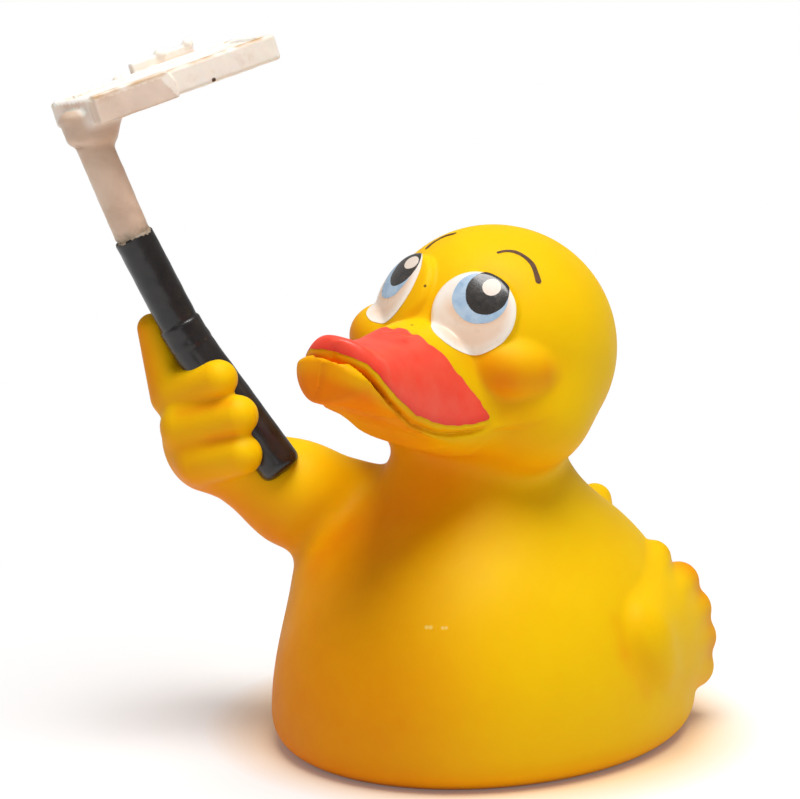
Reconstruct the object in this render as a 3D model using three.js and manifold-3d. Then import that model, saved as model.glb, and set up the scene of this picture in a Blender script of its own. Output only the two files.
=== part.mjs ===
// A cast latex duck that holds a camera stick in its wing hand, and the squeaker plug in its base.
// Millimetres, +Z up. The duck looks along -Y, its left side is +X, and its flat base stands on Z = 0.
//
// The duck is slip cast in one piece, so it is sculpted as one: each limb is a signed distance field
// (negative inside), limbs are blended with the small fillets of a casting, and the blend is turned
// into a mesh. The cavity is the same body set in by the wall. Boolean cuts open the squeaker hole.
import * as THREE from "three";
import { mergeVertices } from "three/addons/utils/BufferGeometryUtils.js";
import Module from "manifold-3d";

// Driving sizes of the body.
const bodyWidth = 58.8;
const bodyLength = 70;
const bodyWaist = 5; // height of its widest line
const bodyTop = 39.4;
const baseRounding = 5;
const baseTrim = 0.3; // cut off the rounded casting to give it one flat face
const neckRadius = 10.8;

// Driving sizes of the head and where it looks.
const headRadius = 17.8;
const headHeight = 57.4; // centre of the head above the table
const headTurn = 5; // degrees, towards the duck's left
const headPitch = 12; // degrees, upwards
const headRoll = 5.5; // degrees, left side down

// Driving sizes of the face, in the head's own axes: left, forward, up.
const eyePlaces = [[16.6, 18], [-31, 19.5]]; // degrees to the duck's left and up, of a face not quite even
const eyeRadius = 6.3;
const eyeRelief = 1.2;
const billReach = 41.6; // from the head's centre to the tip of the bill
const billTipWidth = 13;
const upperLip = 1.2; // height of the side of the upper bill
const lowerLip = 1.2; // height of the side of the lower bill
const lipDrop = 1.5; // from the edge of the upper bill to the edge of the lower one
const underbite = 2.2; // how far the lower bill runs past the upper one
const nostrilRadius = 0.75;
const mouthBlend = 0.6; // softness of the line between the two halves of the bill

// Driving sizes of what the duck holds.
const sleeveRadius = 3.15; // lower, wider tube of the stick
const tubeRadius = 2.9; // black upper tube
const rodRadius = 2.62; // bare upper rod
const phoneLength = 31;
const phoneWidth = 15;
const phoneThickness = 3.9;
const screenDepth = 0.45;
const screenBorder = 1.3;
const cupRadius = 4.4; // of the cup between stick and slab
const clampReach = 11; // how far the clamp's near jaw runs along the slab

// Driving sizes of the shell and the squeaker.
const wall = 2.6;
const floorThickness = 4.5;
const squeakerPlace = 12; // behind the middle of the base
const squeakerBarrel = 5.2; // radius
const squeakerFlange = 7.2; // radius
const squeakerLip = 6.4; // radius of the end inside the duck
const flangeThickness = 1.2;
const airHole = 1.3; // radius
const clearance = 0.3;

// Mesh sizes.
const skinCell = 0.85;
const skinTriangles = 8000;
const cavityCell = 3;
const cavityTriangles = 800;

// distance fields
const { sqrt, abs, min, max, sin, cos, PI } = Math;
const far = 8; // a limb further off than this is only bounded, which keeps the sculpt quick

function blend(a, b, radius) {
  const h = max(radius - abs(a - b), 0) / radius;
  return min(a, b) - h * h * radius * 0.25;
}

function carve(a, b, radius) {
  return -blend(-a, -b, radius);
}

function ellipsoid([cx, cy, cz], [rx, ry, rz]) {
  const reach = max(rx, ry, rz);
  return (x, y, z) => {
    const dx = x - cx;
    const dy = y - cy;
    const dz = z - cz;
    const away = sqrt(dx * dx + dy * dy + dz * dz) - reach;
    if (away > far) return away;
    const k0 = sqrt((dx / rx) ** 2 + (dy / ry) ** 2 + (dz / rz) ** 2);
    const k1 = sqrt((dx / rx ** 2) ** 2 + (dy / ry ** 2) ** 2 + (dz / rz ** 2) ** 2);
    return (k0 * (k0 - 1)) / max(k1, 1e-9);
  };
}

// A tapered limb with round ends, from a (radius ra) to b (radius rb).
function limb(a, b, ra, rb) {
  const [bx, by, bz] = [b[0] - a[0], b[1] - a[1], b[2] - a[2]];
  const l2 = bx * bx + by * by + bz * bz;
  const rr = ra - rb;
  const a2 = l2 - rr * rr;
  const half = sqrt(l2) / 2 + max(ra, rb);
  return (px, py, pz) => {
    const x = px - a[0];
    const y = py - a[1];
    const z = pz - a[2];
    const mx = x - bx / 2;
    const my = y - by / 2;
    const mz = z - bz / 2;
    const away = sqrt(mx * mx + my * my + mz * mz) - half;
    if (away > far) return away;
    const along = x * bx + y * by + z * bz;
    const past = along - l2;
    const qx = x * l2 - along * bx;
    const qy = y * l2 - along * by;
    const qz = z * l2 - along * bz;
    const x2 = qx * qx + qy * qy + qz * qz;
    const y2 = along * along * l2;
    const z2 = past * past * l2;
    const k = Math.sign(rr) * rr * rr * x2;
    if (Math.sign(past) * a2 * z2 > k) return sqrt(x2 + z2) / l2 - rb;
    if (Math.sign(along) * a2 * y2 < k) return sqrt(x2 + y2) / l2 - ra;
    return (sqrt((x2 * a2) / l2) + along * rr) / l2 - ra;
  };
}

// Linear interpolation in a list of [position, value] stations.
function along(stations) {
  return (t) => {
    let i = 1;
    while (i < stations.length - 1 && t > stations[i][0]) i += 1;
    const [t0, v0] = stations[i - 1];
    const [t1, v1] = stations[i];
    return v0 + (v1 - v0) * min(max((t - t0) / (t1 - t0), 0), 1);
  };
}

// A frame placed at an origin, with three unit axes; it hands a world point to a local field.
function inFrame(origin, [u, v, w], reach, field) {
  return (x, y, z) => {
    const dx = x - origin[0];
    const dy = y - origin[1];
    const dz = z - origin[2];
    const away = sqrt(dx * dx + dy * dy + dz * dz) - reach;
    if (away > far) return away;
    return field(
      dx * u[0] + dy * u[1] + dz * u[2],
      dx * v[0] + dy * v[1] + dz * v[2],
      dx * w[0] + dy * w[1] + dz * w[2],
    );
  };
}

// body
const bodyForm = ellipsoid(
  [0, 0, bodyWaist],
  [bodyWidth / 2, bodyLength / 2, bodyTop - bodyWaist],
);
const neck = limb([-1, -0.6, bodyTop - 9.9], [-0.9, -0.9, headHeight - 8], neckRadius + 4, neckRadius);
const tailRoot = [0, 20, 18];
const tailTip = [0, 28.4, 28.9];
const tailRootRadius = 8.6;
const tailTipRadius = 2.6;
const tail = limb(tailRoot, tailTip, tailRootRadius, tailTipRadius);
const shoulderLow = [-10, -9, 12];
const shoulderHigh = [-11.5, -10, 22];
const shoulderLowRadius = 15.5;
const shoulderHighRadius = 13.3;
const rightShoulder = limb(shoulderLow, shoulderHigh, shoulderLowRadius, shoulderHighRadius);

// The folded left wing: five feathers fan back and up from one plump root. The wing lies on the
// widest part of the body, so its places across are set in from the body's half width.
const flank = bodyWidth / 2;
const featherTips = [
  { tip: [flank - 11.6, 17.6, 24.9], radius: 2.8, root: [flank - 6.2, 3.0, 17.8] },
  { tip: [flank - 9.2, 21.1, 20.9], radius: 3.1, root: [flank - 6.1, 3.2, 17.0] },
  { tip: [flank - 7.9, 22.2, 16.7], radius: 3.3, root: [flank - 6.0, 3.4, 16.0] },
  { tip: [flank - 7.4, 22.7, 12.4], radius: 3.4, root: [flank - 5.9, 4.0, 14.6] },
  { tip: [flank - 7.5, 22.3, 8.0], radius: 3.4, root: [flank - 6.0, 5.0, 12.4] },
];
const wingRoot = 6.1;
const feathers = featherTips.map(({ tip, radius, root }) => limb(root, tip, wingRoot, radius));

function leftWing(x, y, z) {
  let d = Infinity;
  for (const feather of feathers) d = blend(d, feather(x, y, z), 1.4);
  return d;
}

function body(x, y, z) {
  let d = blend(bodyForm(x, y, z), rightShoulder(x, y, z), 3);
  d = carve(d, -z - baseTrim, baseRounding);
  d = blend(d, neck(x, y, z), 7);
  d = blend(d, tail(x, y, z), 4);
  return blend(d, leftWing(x, y, z), 1.0);
}

// raised wing: arm, fist and stick
const shoulder = [-18.6, -8.0, 31.0];
const elbow = [-23.5, -15.3, 35.2];
const wrist = [-29.5, -21.2, 39.8];
const upperArm = limb(shoulder, elbow, 8.4, 7.3);
const foreArm = limb(elbow, wrist, 7.3, 5.6);

const palmPlace = [-33.2, -23.6, 44.4];
const palmRadii = [7.0, 6.8, 8.6];
const palm = ellipsoid(palmPlace, palmRadii);
const fingers = [
  limb([-35.9, -26.4, 50.9], [-28.4, -27.0, 54.0], 3.6, 2.8),
  limb([-34.1, -27.7, 46.3], [-25.2, -26.6, 48.9], 3.8, 3.0),
  limb([-31.8, -27.4, 41.4], [-24.3, -26.9, 43.3], 3.6, 3.0),
];
const thumbRoot = [-38.2, -26.0, 50.0];
const thumbTip = [-40.6, -27.4, 60.0];
const thumb = limb(thumbRoot, thumbTip, 3.2, 2.2);

// The stick's middle line, from the foot on the forearm to the cup under the slab.
const stickFoot = [-20.9, -21.3, 40.1];
const stickBend = [-34.7, -26.4, 58.9];
const stickCollar = [-40.8, -31.1, 74.3]; // where the bare rod leaves the black tube
const stickHead = [-45.0, -34.8, 88.1];
const cupTop = [-45.8, -34.4, 91.8];

function arm(x, y, z) {
  return blend(upperArm(x, y, z), foreArm(x, y, z), 3);
}

function fist(x, y, z) {
  let d = palm(x, y, z);
  for (const finger of fingers) d = blend(d, finger(x, y, z), 1.2);
  return blend(d, thumb(x, y, z), 1.5);
}

// the slab on the stick
// Its own axes: along its length, across it (away from the viewer of the photo) and up.
const phonePlace = [-42.3, -21.6, 95.6];
const phoneAlong = new THREE.Vector3(0.3836, 0.8919, 0.2396).normalize();
const phoneAcross = new THREE.Vector3(-0.8846, 0.4294, -0.1819);
phoneAcross.addScaledVector(phoneAlong, -phoneAcross.dot(phoneAlong)).normalize();
const phoneUp = new THREE.Vector3().crossVectors(phoneAlong, phoneAcross);
const halfLength = phoneLength / 2;
const halfWidth = phoneWidth / 2;
const halfThick = phoneThickness / 2;
const jawNubs = [[-4.2, 1.8], [3.4, 3.5], [8.2, 3.5]]; // along the slab, and up

// head
const headMatrix = new THREE.Matrix4()
  .makeRotationZ(THREE.MathUtils.degToRad(headTurn))
  .multiply(new THREE.Matrix4().makeRotationX(THREE.MathUtils.degToRad(-headPitch)))
  .multiply(new THREE.Matrix4().makeRotationY(THREE.MathUtils.degToRad(headRoll)));
const headLeft = new THREE.Vector3();
const headBack = new THREE.Vector3();
const headUp = new THREE.Vector3();
headMatrix.extractBasis(headLeft, headBack, headUp);
const headAxes = [headLeft, headBack.clone().negate(), headUp].map((v) => v.toArray());
const headPlace = [0, 0, headHeight];
const skull = [0.9, -0.6, 0.6]; // the middle of the skull, in the head's own axes
const inWorld = (local, i) => local.reduce((sum, n, axis) => sum + n * headAxes[axis][i], headPlace[i]);
const skullPlace = [0, 1, 2].map((i) => inWorld(skull, i));

// The bill, by stations along its length: half width, lip, ridge and underside.
const tipHalf = billTipWidth / 2;
const billHalfWidth = along([[6, 9.5], [10, 11], [14, 11.3], [17, 10.2], [20.4, 9.1], [24, 8.4],
  [29.3, 7.7], [35.5, tipHalf + 0.5], [40, tipHalf]]);
const billLip = along([[6, -6], [10, -7], [14, -8.4], [17, -9.5], [20.4, -10.1], [24, -10],
  [29.3, -9], [35.5, -6.1], [40, -3.4]]);
const billRidge = along([[6, -2], [10, 1], [14, 3], [17, 3.4], [20.4, 3.3], [24, 2.4],
  [29.3, 0.5], [35.5, -0.6], [40, 0.6]]);
const billUnder = along([[6, -13], [14, -15.2], [20.4, -14.2], [24, -12.3], [27, -10.9],
  [31, -9.7], [36, -9.3], [40, -8.8]]);

// A blunt-sided cross-section: widest at height c, rising `above` and falling `below`.
function section(l, u, halfW, c, above, below, powAbove, powBelow) {
  const rise = u > c ? above : below;
  const pow = u > c ? powAbove : powBelow;
  const gl = abs(l) / halfW;
  const gu = abs(u - c) / rise;
  const g = sqrt(gl ** 3 + gu ** pow + 1e-9);
  const dl = (3 * gl * gl) / halfW / (2 * g);
  const du = (pow * gu ** (pow - 1)) / rise / (2 * g);
  return max((g - 1) / max(sqrt(dl * dl + du * du), 0.1), -3);
}

function roundTip(f, start, end) {
  const s = min(max((f - start) / (end - start), 0), 0.999);
  return sqrt(1 - s ** 2.4);
}

function billLocal(l, f, u) {
  const w = billHalfWidth(f);
  // The front edge is arched over the middle.
  const arch = 1.5 * max(0, 1 - (l / 7) ** 2) * min(max((f - 24) / 12, 0), 1);
  const lip = billLip(f) + arch;
  const lower = lip - lipDrop;
  const upperW = w * roundTip(f, billReach - 5.6, billReach);
  const underW = (w - 0.3) * roundTip(f, billReach - 3, billReach + underbite);
  const upper = section(l, u, upperW, lip, max(billRidge(f) - lip, 1), upperLip, 1.6, 2.2);
  const under = section(l, u, underW, lower, lowerLip, max(lower - billUnder(f), 0.6), 2.2, 1.8);
  return [carve(upper, f - billReach, 1.2), carve(under, f - billReach - underbite, 1.2)];
}

const deg = PI / 180;
const eyeAxes = eyePlaces.map(([side, lift]) => [
  sin(side * deg) * cos(lift * deg),
  cos(side * deg) * cos(lift * deg),
  sin(lift * deg),
]);
const jowls = [1, -1].map((s) => ellipsoid([s * 10.6, 3.4, -7.6], [8.2, 8.2, 7.6]));
const cheeks = [1, -1].map((s) => ellipsoid([s * 9.2, 8.9, -0.7], [7.5, 7.5, 5.5]));
const nostrils = [1, -1].map((s) => ellipsoid([s * 1.7, 25.6, 2.3], [1, 1.4, nostrilRadius]));

function headLocal(l, f, u) {
  const [sl, sf, su] = [l - skull[0], f - skull[1], u - skull[2]];
  const r = sqrt(sl * sl + sf * sf + su * su);
  let d = r - headRadius;
  for (const jowl of jowls) d = blend(d, jowl(l, f, u), 5);
  for (const cheek of cheeks) d = blend(d, cheek(l, f, u), 0.8);
  if (f > -1) {
    const [upper, under] = billLocal(l, f, u);
    const root = 4 - f;
    d = blend(blend(d, carve(upper, root, 1), 1.4), blend(d, carve(under, root, 1), 4), mouthBlend);
    for (const nostril of nostrils) d = carve(d, -nostril(l, f, u), 0.4);
  }
  for (const [al, af, au] of eyeAxes) {
    const t = sl * al + sf * af + su * au;
    const off = sqrt(max(r * r - t * t, 0));
    const dome = carve(carve(r - headRadius - eyeRelief, off - eyeRadius, 1), -t, 1);
    d = blend(d, dome, 0.5);
  }
  return d;
}

const head = inFrame(headPlace, headAxes, billReach + 4, headLocal);

// the whole casting
function duckField(x, y, z) {
  let d = body(x, y, z);
  d = blend(d, arm(x, y, z), 3);
  d = blend(d, head(x, y, z), 3);
  return blend(d, fist(x, y, z), 1.5);
}

// The cavity follows the body, the neck, the head and the upper arm, set in by the wall.
function cavityField(x, y, z) {
  let d = carve(bodyForm(x, y, z) + wall, floorThickness - z, 3);
  d = blend(d, neck(x, y, z) + wall, 5);
  const hx = x - skullPlace[0];
  const hy = y - skullPlace[1];
  const hz = z - skullPlace[2];
  d = blend(d, sqrt(hx * hx + hy * hy + hz * hz) - headRadius + wall, 5);
  return blend(d, upperArm(x, y, z) + wall, 3);
}

// from field to mesh
// Marching tetrahedra over the blocks that the surface passes through.
const blockCells = 4;
const corners = Array.from({ length: 8 }, (_, c) => [c & 1, (c >> 1) & 1, c >> 2]);
const tetrahedra = "0137 0327 0267 0647 0457 0517".split(" ").map((cut) => Array.from(cut, Number));

function polygonise(field, low, high, cell) {
  const size = low.map((v, i) => Math.ceil((high[i] - v) / cell / blockCells) * blockCells + 1);
  const strideY = size[0];
  const strideZ = size[0] * size[1];
  const points = [];
  const faces = [];
  const known = new Map();
  const side = blockCells + 1;
  const value = new Float64Array(side ** 3);
  const reach = blockCells * cell * 0.87 * 1.5 + 1;

  function vertex(a, b, va, vb) {
    const [from, to] = a < b ? [a, b] : [b, a];
    const [vf, vt] = a < b ? [va, vb] : [vb, va];
    const key = from * 8388608 + (to - from);
    let index = known.get(key);
    if (index !== undefined) return index;
    index = points.length / 3;
    known.set(key, index);
    const t = min(max(vf / (vf - vt), 0.04), 0.96);
    for (const [stride, axis, count] of [[1, 0, size[0]], [strideY, 1, size[1]], [strideZ, 2, size[2]]]) {
      const f = Math.floor(from / stride) % count;
      const g = Math.floor(to / stride) % count;
      points.push(low[axis] + cell * (f + t * (g - f)));
    }
    return index;
  }

  // Whether three corners turn anticlockwise as seen from outside the one before them.
  function turns(o, p, q, r) {
    const [a, b, c] = [p, q, r].map((v) => corners[v].map((n, axis) => n - corners[o][axis]));
    const [x, y, z] = [b[1] * c[2] - b[2] * c[1], b[2] * c[0] - b[0] * c[2], b[0] * c[1] - b[1] * c[0]];
    return a[0] * x + a[1] * y + a[2] * z > 0;
  }

  function triangle(a, b, c, asGiven) {
    if (asGiven) faces.push(a, b, c);
    else faces.push(a, c, b);
  }

  function block(bx, by, bz) {
    let n = 0;
    for (let k = 0; k < side; k += 1)
      for (let j = 0; j < side; j += 1)
        for (let i = 0; i < side; i += 1) {
          const v = field(low[0] + cell * (bx + i), low[1] + cell * (by + j), low[2] + cell * (bz + k));
          value[n] = abs(v) < 1e-5 ? 1e-5 : v;
          n += 1;
        }
    for (let k = 0; k < blockCells; k += 1)
      for (let j = 0; j < blockCells; j += 1)
        for (let i = 0; i < blockCells; i += 1) {
          const at = corners.map(([a, b, c]) => i + a + (j + b) * side + (k + c) * side * side);
          let inner = 0;
          for (const c of at) if (value[c] < 0) inner += 1;
          if (inner === 0 || inner === 8) continue;
          const id = corners.map(([a, b, c]) => bx + i + a + (by + j + b) * strideY + (bz + k + c) * strideZ);
          for (const tet of tetrahedra) {
            const ins = tet.filter((c) => value[at[c]] < 0);
            if (ins.length === 0 || ins.length === 4) continue;
            const outs = tet.filter((c) => value[at[c]] >= 0);
            const cut = (a, b) => vertex(id[a], id[b], value[at[a]], value[at[b]]);
            if (ins.length === 2) {
              const [p, q] = ins;
              const [r, t] = outs;
              const ring = [cut(p, r), cut(p, t), cut(q, t), cut(q, r)];
              const asGiven = turns(p, q, r, t);
              triangle(ring[0], ring[1], ring[2], asGiven);
              triangle(ring[0], ring[2], ring[3], asGiven);
            } else if (ins.length === 1) {
              const [p] = ins;
              triangle(cut(p, outs[0]), cut(p, outs[1]), cut(p, outs[2]), turns(p, ...outs));
            } else {
              const [o] = outs;
              triangle(cut(ins[0], o), cut(ins[1], o), cut(ins[2], o), !turns(o, ...ins));
            }
          }
        }
  }

  const half = (blockCells * cell) / 2;
  for (let bz = 0; bz < size[2] - 1; bz += blockCells)
    for (let by = 0; by < size[1] - 1; by += blockCells)
      for (let bx = 0; bx < size[0] - 1; bx += blockCells) {
        const d = field(low[0] + cell * bx + half, low[1] + cell * by + half, low[2] + cell * bz + half);
        if (abs(d) < reach) block(bx, by, bz);
      }
  return { points: Float64Array.from(points), faces: Int32Array.from(faces) };
}

// Quadric edge collapse: the edge whose removal bends the surface least goes first.
function simplify(mesh, target, weightAt) {
  const { points, faces } = mesh;
  const count = points.length / 3;
  const faceCount = faces.length / 3;
  const quadric = new Float64Array(count * 10);
  const around = Array.from({ length: count }, () => []);
  const alive = new Uint8Array(faceCount).fill(1);
  const gone = new Uint8Array(count);
  const stamp = new Int32Array(count);
  const spot = new Float64Array(3);
  let left = faceCount;

  for (let f = 0; f < faceCount; f += 1) {
    const [a, b, c] = [3 * faces[3 * f], 3 * faces[3 * f + 1], 3 * faces[3 * f + 2]];
    const [ux, uy, uz] = [0, 1, 2].map((axis) => points[b + axis] - points[a + axis]);
    const [vx, vy, vz] = [0, 1, 2].map((axis) => points[c + axis] - points[a + axis]);
    let [x, y, z] = [uy * vz - uz * vy, uz * vx - ux * vz, ux * vy - uy * vx];
    const size = sqrt(x * x + y * y + z * z);
    for (let i = 0; i < 3; i += 1) around[faces[3 * f + i]].push(f);
    if (size < 1e-12) continue;
    x /= size;
    y /= size;
    z /= size;
    const w = -(x * points[a] + y * points[a + 1] + z * points[a + 2]);
    const weight = (size / 2) * weightAt(points[a], points[a + 1], points[a + 2]);
    const q = [x * x, x * y, x * z, x * w, y * y, y * z, y * w, z * z, z * w, w * w];
    for (let i = 0; i < 3; i += 1) {
      const v = 10 * faces[3 * f + i];
      for (let n = 0; n < 10; n += 1) quadric[v + n] += weight * q[n];
    }
  }

  // Puts the best place for the merged vertex in `spot` and returns what it costs.
  function place(a, b) {
    const [i, j] = [10 * a, 10 * b];
    const q0 = quadric[i] + quadric[j];
    const q1 = quadric[i + 1] + quadric[j + 1];
    const q2 = quadric[i + 2] + quadric[j + 2];
    const q3 = quadric[i + 3] + quadric[j + 3];
    const q4 = quadric[i + 4] + quadric[j + 4];
    const q5 = quadric[i + 5] + quadric[j + 5];
    const q6 = quadric[i + 6] + quadric[j + 6];
    const q7 = quadric[i + 7] + quadric[j + 7];
    const q8 = quadric[i + 8] + quadric[j + 8];
    const q9 = quadric[i + 9] + quadric[j + 9];
    const mx = (points[3 * a] + points[3 * b]) / 2;
    const my = (points[3 * a + 1] + points[3 * b + 1]) / 2;
    const mz = (points[3 * a + 2] + points[3 * b + 2]) / 2;
    const dx = points[3 * a] - points[3 * b];
    const dy = points[3 * a + 1] - points[3 * b + 1];
    const dz = points[3 * a + 2] - points[3 * b + 2];
    const length2 = dx * dx + dy * dy + dz * dz;
    const soft = (q0 + q4 + q7) * 2e-3 + 1e-9;
    const m00 = q0 + soft;
    const m11 = q4 + soft;
    const m22 = q7 + soft;
    const rx = soft * mx - q3;
    const ry = soft * my - q6;
    const rz = soft * mz - q8;
    const c00 = m11 * m22 - q5 * q5;
    const c01 = q2 * q5 - q1 * m22;
    const c02 = q1 * q5 - q2 * m11;
    const c11 = m00 * m22 - q2 * q2;
    const c12 = q1 * q2 - m00 * q5;
    const c22 = m00 * m11 - q1 * q1;
    const det = m00 * c00 + q1 * c01 + q2 * c02;
    let x = (c00 * rx + c01 * ry + c02 * rz) / det;
    let y = (c01 * rx + c11 * ry + c12 * rz) / det;
    let z = (c02 * rx + c12 * ry + c22 * rz) / det;
    if (!((x - mx) ** 2 + (y - my) ** 2 + (z - mz) ** 2 < length2)) {
      x = mx;
      y = my;
      z = mz;
    }
    spot[0] = x;
    spot[1] = y;
    spot[2] = z;
    const bend = q0 * x * x + 2 * q1 * x * y + 2 * q2 * x * z + 2 * q3 * x + q4 * y * y;
    const rest = 2 * q5 * y * z + 2 * q6 * y + q7 * z * z + 2 * q8 * z + q9;
    return max(bend + rest, 0) + 1e-6 * length2;
  }

  // A heap of edges, cheapest first. An edge is stale once either end has moved.
  let room = 1 << 20;
  let costs = new Float64Array(room);
  let edges = new Int32Array(room * 3);
  let held = 0;
  function grow() {
    const moreCosts = new Float64Array(room * 2);
    moreCosts.set(costs);
    costs = moreCosts;
    const moreEdges = new Int32Array(room * 6);
    moreEdges.set(edges);
    edges = moreEdges;
    room *= 2;
  }
  function put(i, cost, a, b, mark) {
    costs[i] = cost;
    edges[3 * i] = a;
    edges[3 * i + 1] = b;
    edges[3 * i + 2] = mark;
  }
  function offer(a, b) {
    if (held === room) grow();
    const cost = place(a, b);
    let i = held;
    held += 1;
    while (i > 0) {
      const up = (i - 1) >> 1;
      if (costs[up] <= cost) break;
      put(i, costs[up], edges[3 * up], edges[3 * up + 1], edges[3 * up + 2]);
      i = up;
    }
    put(i, cost, a, b, stamp[a] + stamp[b]);
  }
  function dropTop() {
    held -= 1;
    const cost = costs[held];
    let i = 0;
    for (;;) {
      let down = 2 * i + 1;
      if (down >= held) break;
      if (down + 1 < held && costs[down + 1] < costs[down]) down += 1;
      if (costs[down] >= cost) break;
      put(i, costs[down], edges[3 * down], edges[3 * down + 1], edges[3 * down + 2]);
      i = down;
    }
    put(i, cost, edges[3 * held], edges[3 * held + 1], edges[3 * held + 2]);
  }

  const seen = new Int32Array(count);
  let round = 0;
  function neighbours(v) {
    round += 1;
    seen[v] = round;
    const ring = [];
    for (const f of around[v])
      for (let i = 0; i < 3; i += 1) {
        const n = faces[3 * f + i];
        if (seen[n] !== round) {
          seen[n] = round;
          ring.push(n);
        }
      }
    return ring;
  }

  // Whether moving `own` to the spot would turn over or flatten one of its faces.
  function spoils(own, other) {
    for (const f of around[own]) {
      const i = faces[3 * f];
      const j = faces[3 * f + 1];
      const k = faces[3 * f + 2];
      if (i === other || j === other || k === other) continue;
      const [p, q] = i === own ? [3 * j, 3 * k] : j === own ? [3 * k, 3 * i] : [3 * i, 3 * j];
      const o = 3 * own;
      const ax = points[p] - points[o];
      const ay = points[p + 1] - points[o + 1];
      const az = points[p + 2] - points[o + 2];
      const bx = points[q] - points[o];
      const by = points[q + 1] - points[o + 1];
      const bz = points[q + 2] - points[o + 2];
      const cx = points[p] - spot[0];
      const cy = points[p + 1] - spot[1];
      const cz = points[p + 2] - spot[2];
      const dx = points[q] - spot[0];
      const dy = points[q + 1] - spot[1];
      const dz = points[q + 2] - spot[2];
      const nx = ay * bz - az * by;
      const ny = az * bx - ax * bz;
      const nz = ax * by - ay * bx;
      const mx = cy * dz - cz * dy;
      const my = cz * dx - cx * dz;
      const mz = cx * dy - cy * dx;
      const after = sqrt(mx * mx + my * my + mz * mz);
      const size = sqrt(nx * nx + ny * ny + nz * nz) * after;
      if (nx * mx + ny * my + nz * mz < 0.3 * size || size < 1e-10) return true;
    }
    return false;
  }

  for (let f = 0; f < faceCount; f += 1)
    for (let i = 0; i < 3; i += 1) {
      const a = faces[3 * f + i];
      const b = faces[3 * f + ((i + 1) % 3)];
      if (a < b) offer(a, b);
    }

  while (left > target && held > 0) {
    const a = edges[0];
    const b = edges[1];
    const mark = edges[2];
    dropTop();
    if (gone[a] || gone[b] || stamp[a] + stamp[b] !== mark) continue;
    const ringB = neighbours(b);
    const ringA = neighbours(a);
    let shared = 0;
    for (const v of ringB) if (seen[v] === round && v !== a) shared += 1;
    if (shared !== 2) continue;
    place(a, b);
    if (spoils(a, b) || spoils(b, a)) continue;
    points.set(spot, 3 * a);
    for (let i = 0; i < 10; i += 1) quadric[10 * a + i] += quadric[10 * b + i];
    for (const f of around[b]) {
      if (faces[3 * f] === a || faces[3 * f + 1] === a || faces[3 * f + 2] === a) {
        alive[f] = 0;
        left -= 1;
        continue;
      }
      for (let n = 0; n < 3; n += 1) if (faces[3 * f + n] === b) faces[3 * f + n] = a;
      around[a].push(f);
    }
    gone[b] = 1;
    around[b] = [];
    around[a] = around[a].filter((f) => alive[f]);
    for (const v of [...ringA, ...ringB])
      if (!gone[v] && v !== a) around[v] = around[v].filter((f) => alive[f]);
    stamp[a] += 1;
    for (const v of neighbours(a)) offer(a, v);
  }

  // Only the vertices that are still used.
  const renumber = new Int32Array(count).fill(-1);
  const kept = [];
  const used = [];
  for (let f = 0; f < faceCount; f += 1) {
    if (!alive[f]) continue;
    for (let i = 0; i < 3; i += 1) {
      const v = faces[3 * f + i];
      if (renumber[v] < 0) {
        renumber[v] = kept.length / 3;
        kept.push(points[3 * v], points[3 * v + 1], points[3 * v + 2]);
      }
      used.push(renumber[v]);
    }
  }
  return { points: Float64Array.from(kept), faces: Int32Array.from(used) };
}

// Moves each vertex along the field's slope until it lies on the surface.
function settle(mesh, field) {
  const { points } = mesh;
  const step = 0.02;
  for (let i = 0; i < points.length; i += 3)
    for (let turn = 0; turn < 3; turn += 1) {
      const [x, y, z] = points.subarray(i, i + 3);
      const d = field(x, y, z);
      const gx = (field(x + step, y, z) - field(x - step, y, z)) / (2 * step);
      const gy = (field(x, y + step, z) - field(x, y - step, z)) / (2 * step);
      const gz = (field(x, y, z + step) - field(x, y, z - step)) / (2 * step);
      const g2 = max(gx * gx + gy * gy + gz * gz, 0.1);
      const move = max(-0.3, min(0.3, d)) / g2;
      points[i] -= move * gx;
      points[i + 1] -= move * gy;
      points[i + 2] -= move * gz;
    }
  return mesh;
}

// solids
const wasm = await Module();
wasm.setup();

function solid(points, faces) {
  return new wasm.Manifold(
    new wasm.Mesh({
      numProp: 3,
      vertProperties: Float32Array.from(points),
      triVerts: Uint32Array.from(faces),
    }),
  );
}

// A turned piece from a closed profile of [radius, height] points, listed so that it faces out.
function turned(profile, segments) {
  const steps = profile.length;
  const points = [];
  const faces = [];
  for (let s = 0; s < segments; s += 1) {
    const angle = (2 * PI * s) / segments;
    for (const [r, z] of profile) points.push(r * cos(angle), squeakerPlace + r * sin(angle), z);
  }
  for (let s = 0; s < segments; s += 1) {
    const t = (s + 1) % segments;
    for (let i = 0; i < steps; i += 1) {
      const j = (i + 1) % steps;
      const [a, b, c, d] = [s * steps + i, t * steps + i, t * steps + j, s * steps + j];
      faces.push(a, b, c, a, c, d);
    }
  }
  return { points, faces };
}

function plug(radiusLow, radiusHigh, z0, z1, z2, segments) {
  // A stepped cutter: a wide recess from z0 to z1 and a narrower hole from z1 to z2.
  const points = [0, squeakerPlace, z0, 0, squeakerPlace, z2];
  const faces = [];
  const rings = [[radiusLow, z0], [radiusLow, z1], [radiusHigh, z1], [radiusHigh, z2]];
  for (const [r, z] of rings)
    for (let s = 0; s < segments; s += 1) {
      const angle = (2 * PI * s) / segments;
      points.push(r * cos(angle), squeakerPlace + r * sin(angle), z);
    }
  for (let s = 0; s < segments; s += 1) {
    const t = (s + 1) % segments;
    faces.push(0, 2 + t, 2 + s);
    faces.push(1, 2 + 3 * segments + s, 2 + 3 * segments + t);
    for (let ring = 0; ring < 3; ring += 1) {
      const low = 2 + ring * segments;
      faces.push(low + s, low + t, low + segments + t, low + s, low + segments + t, low + segments + s);
    }
  }
  return solid(points, faces);
}

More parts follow.
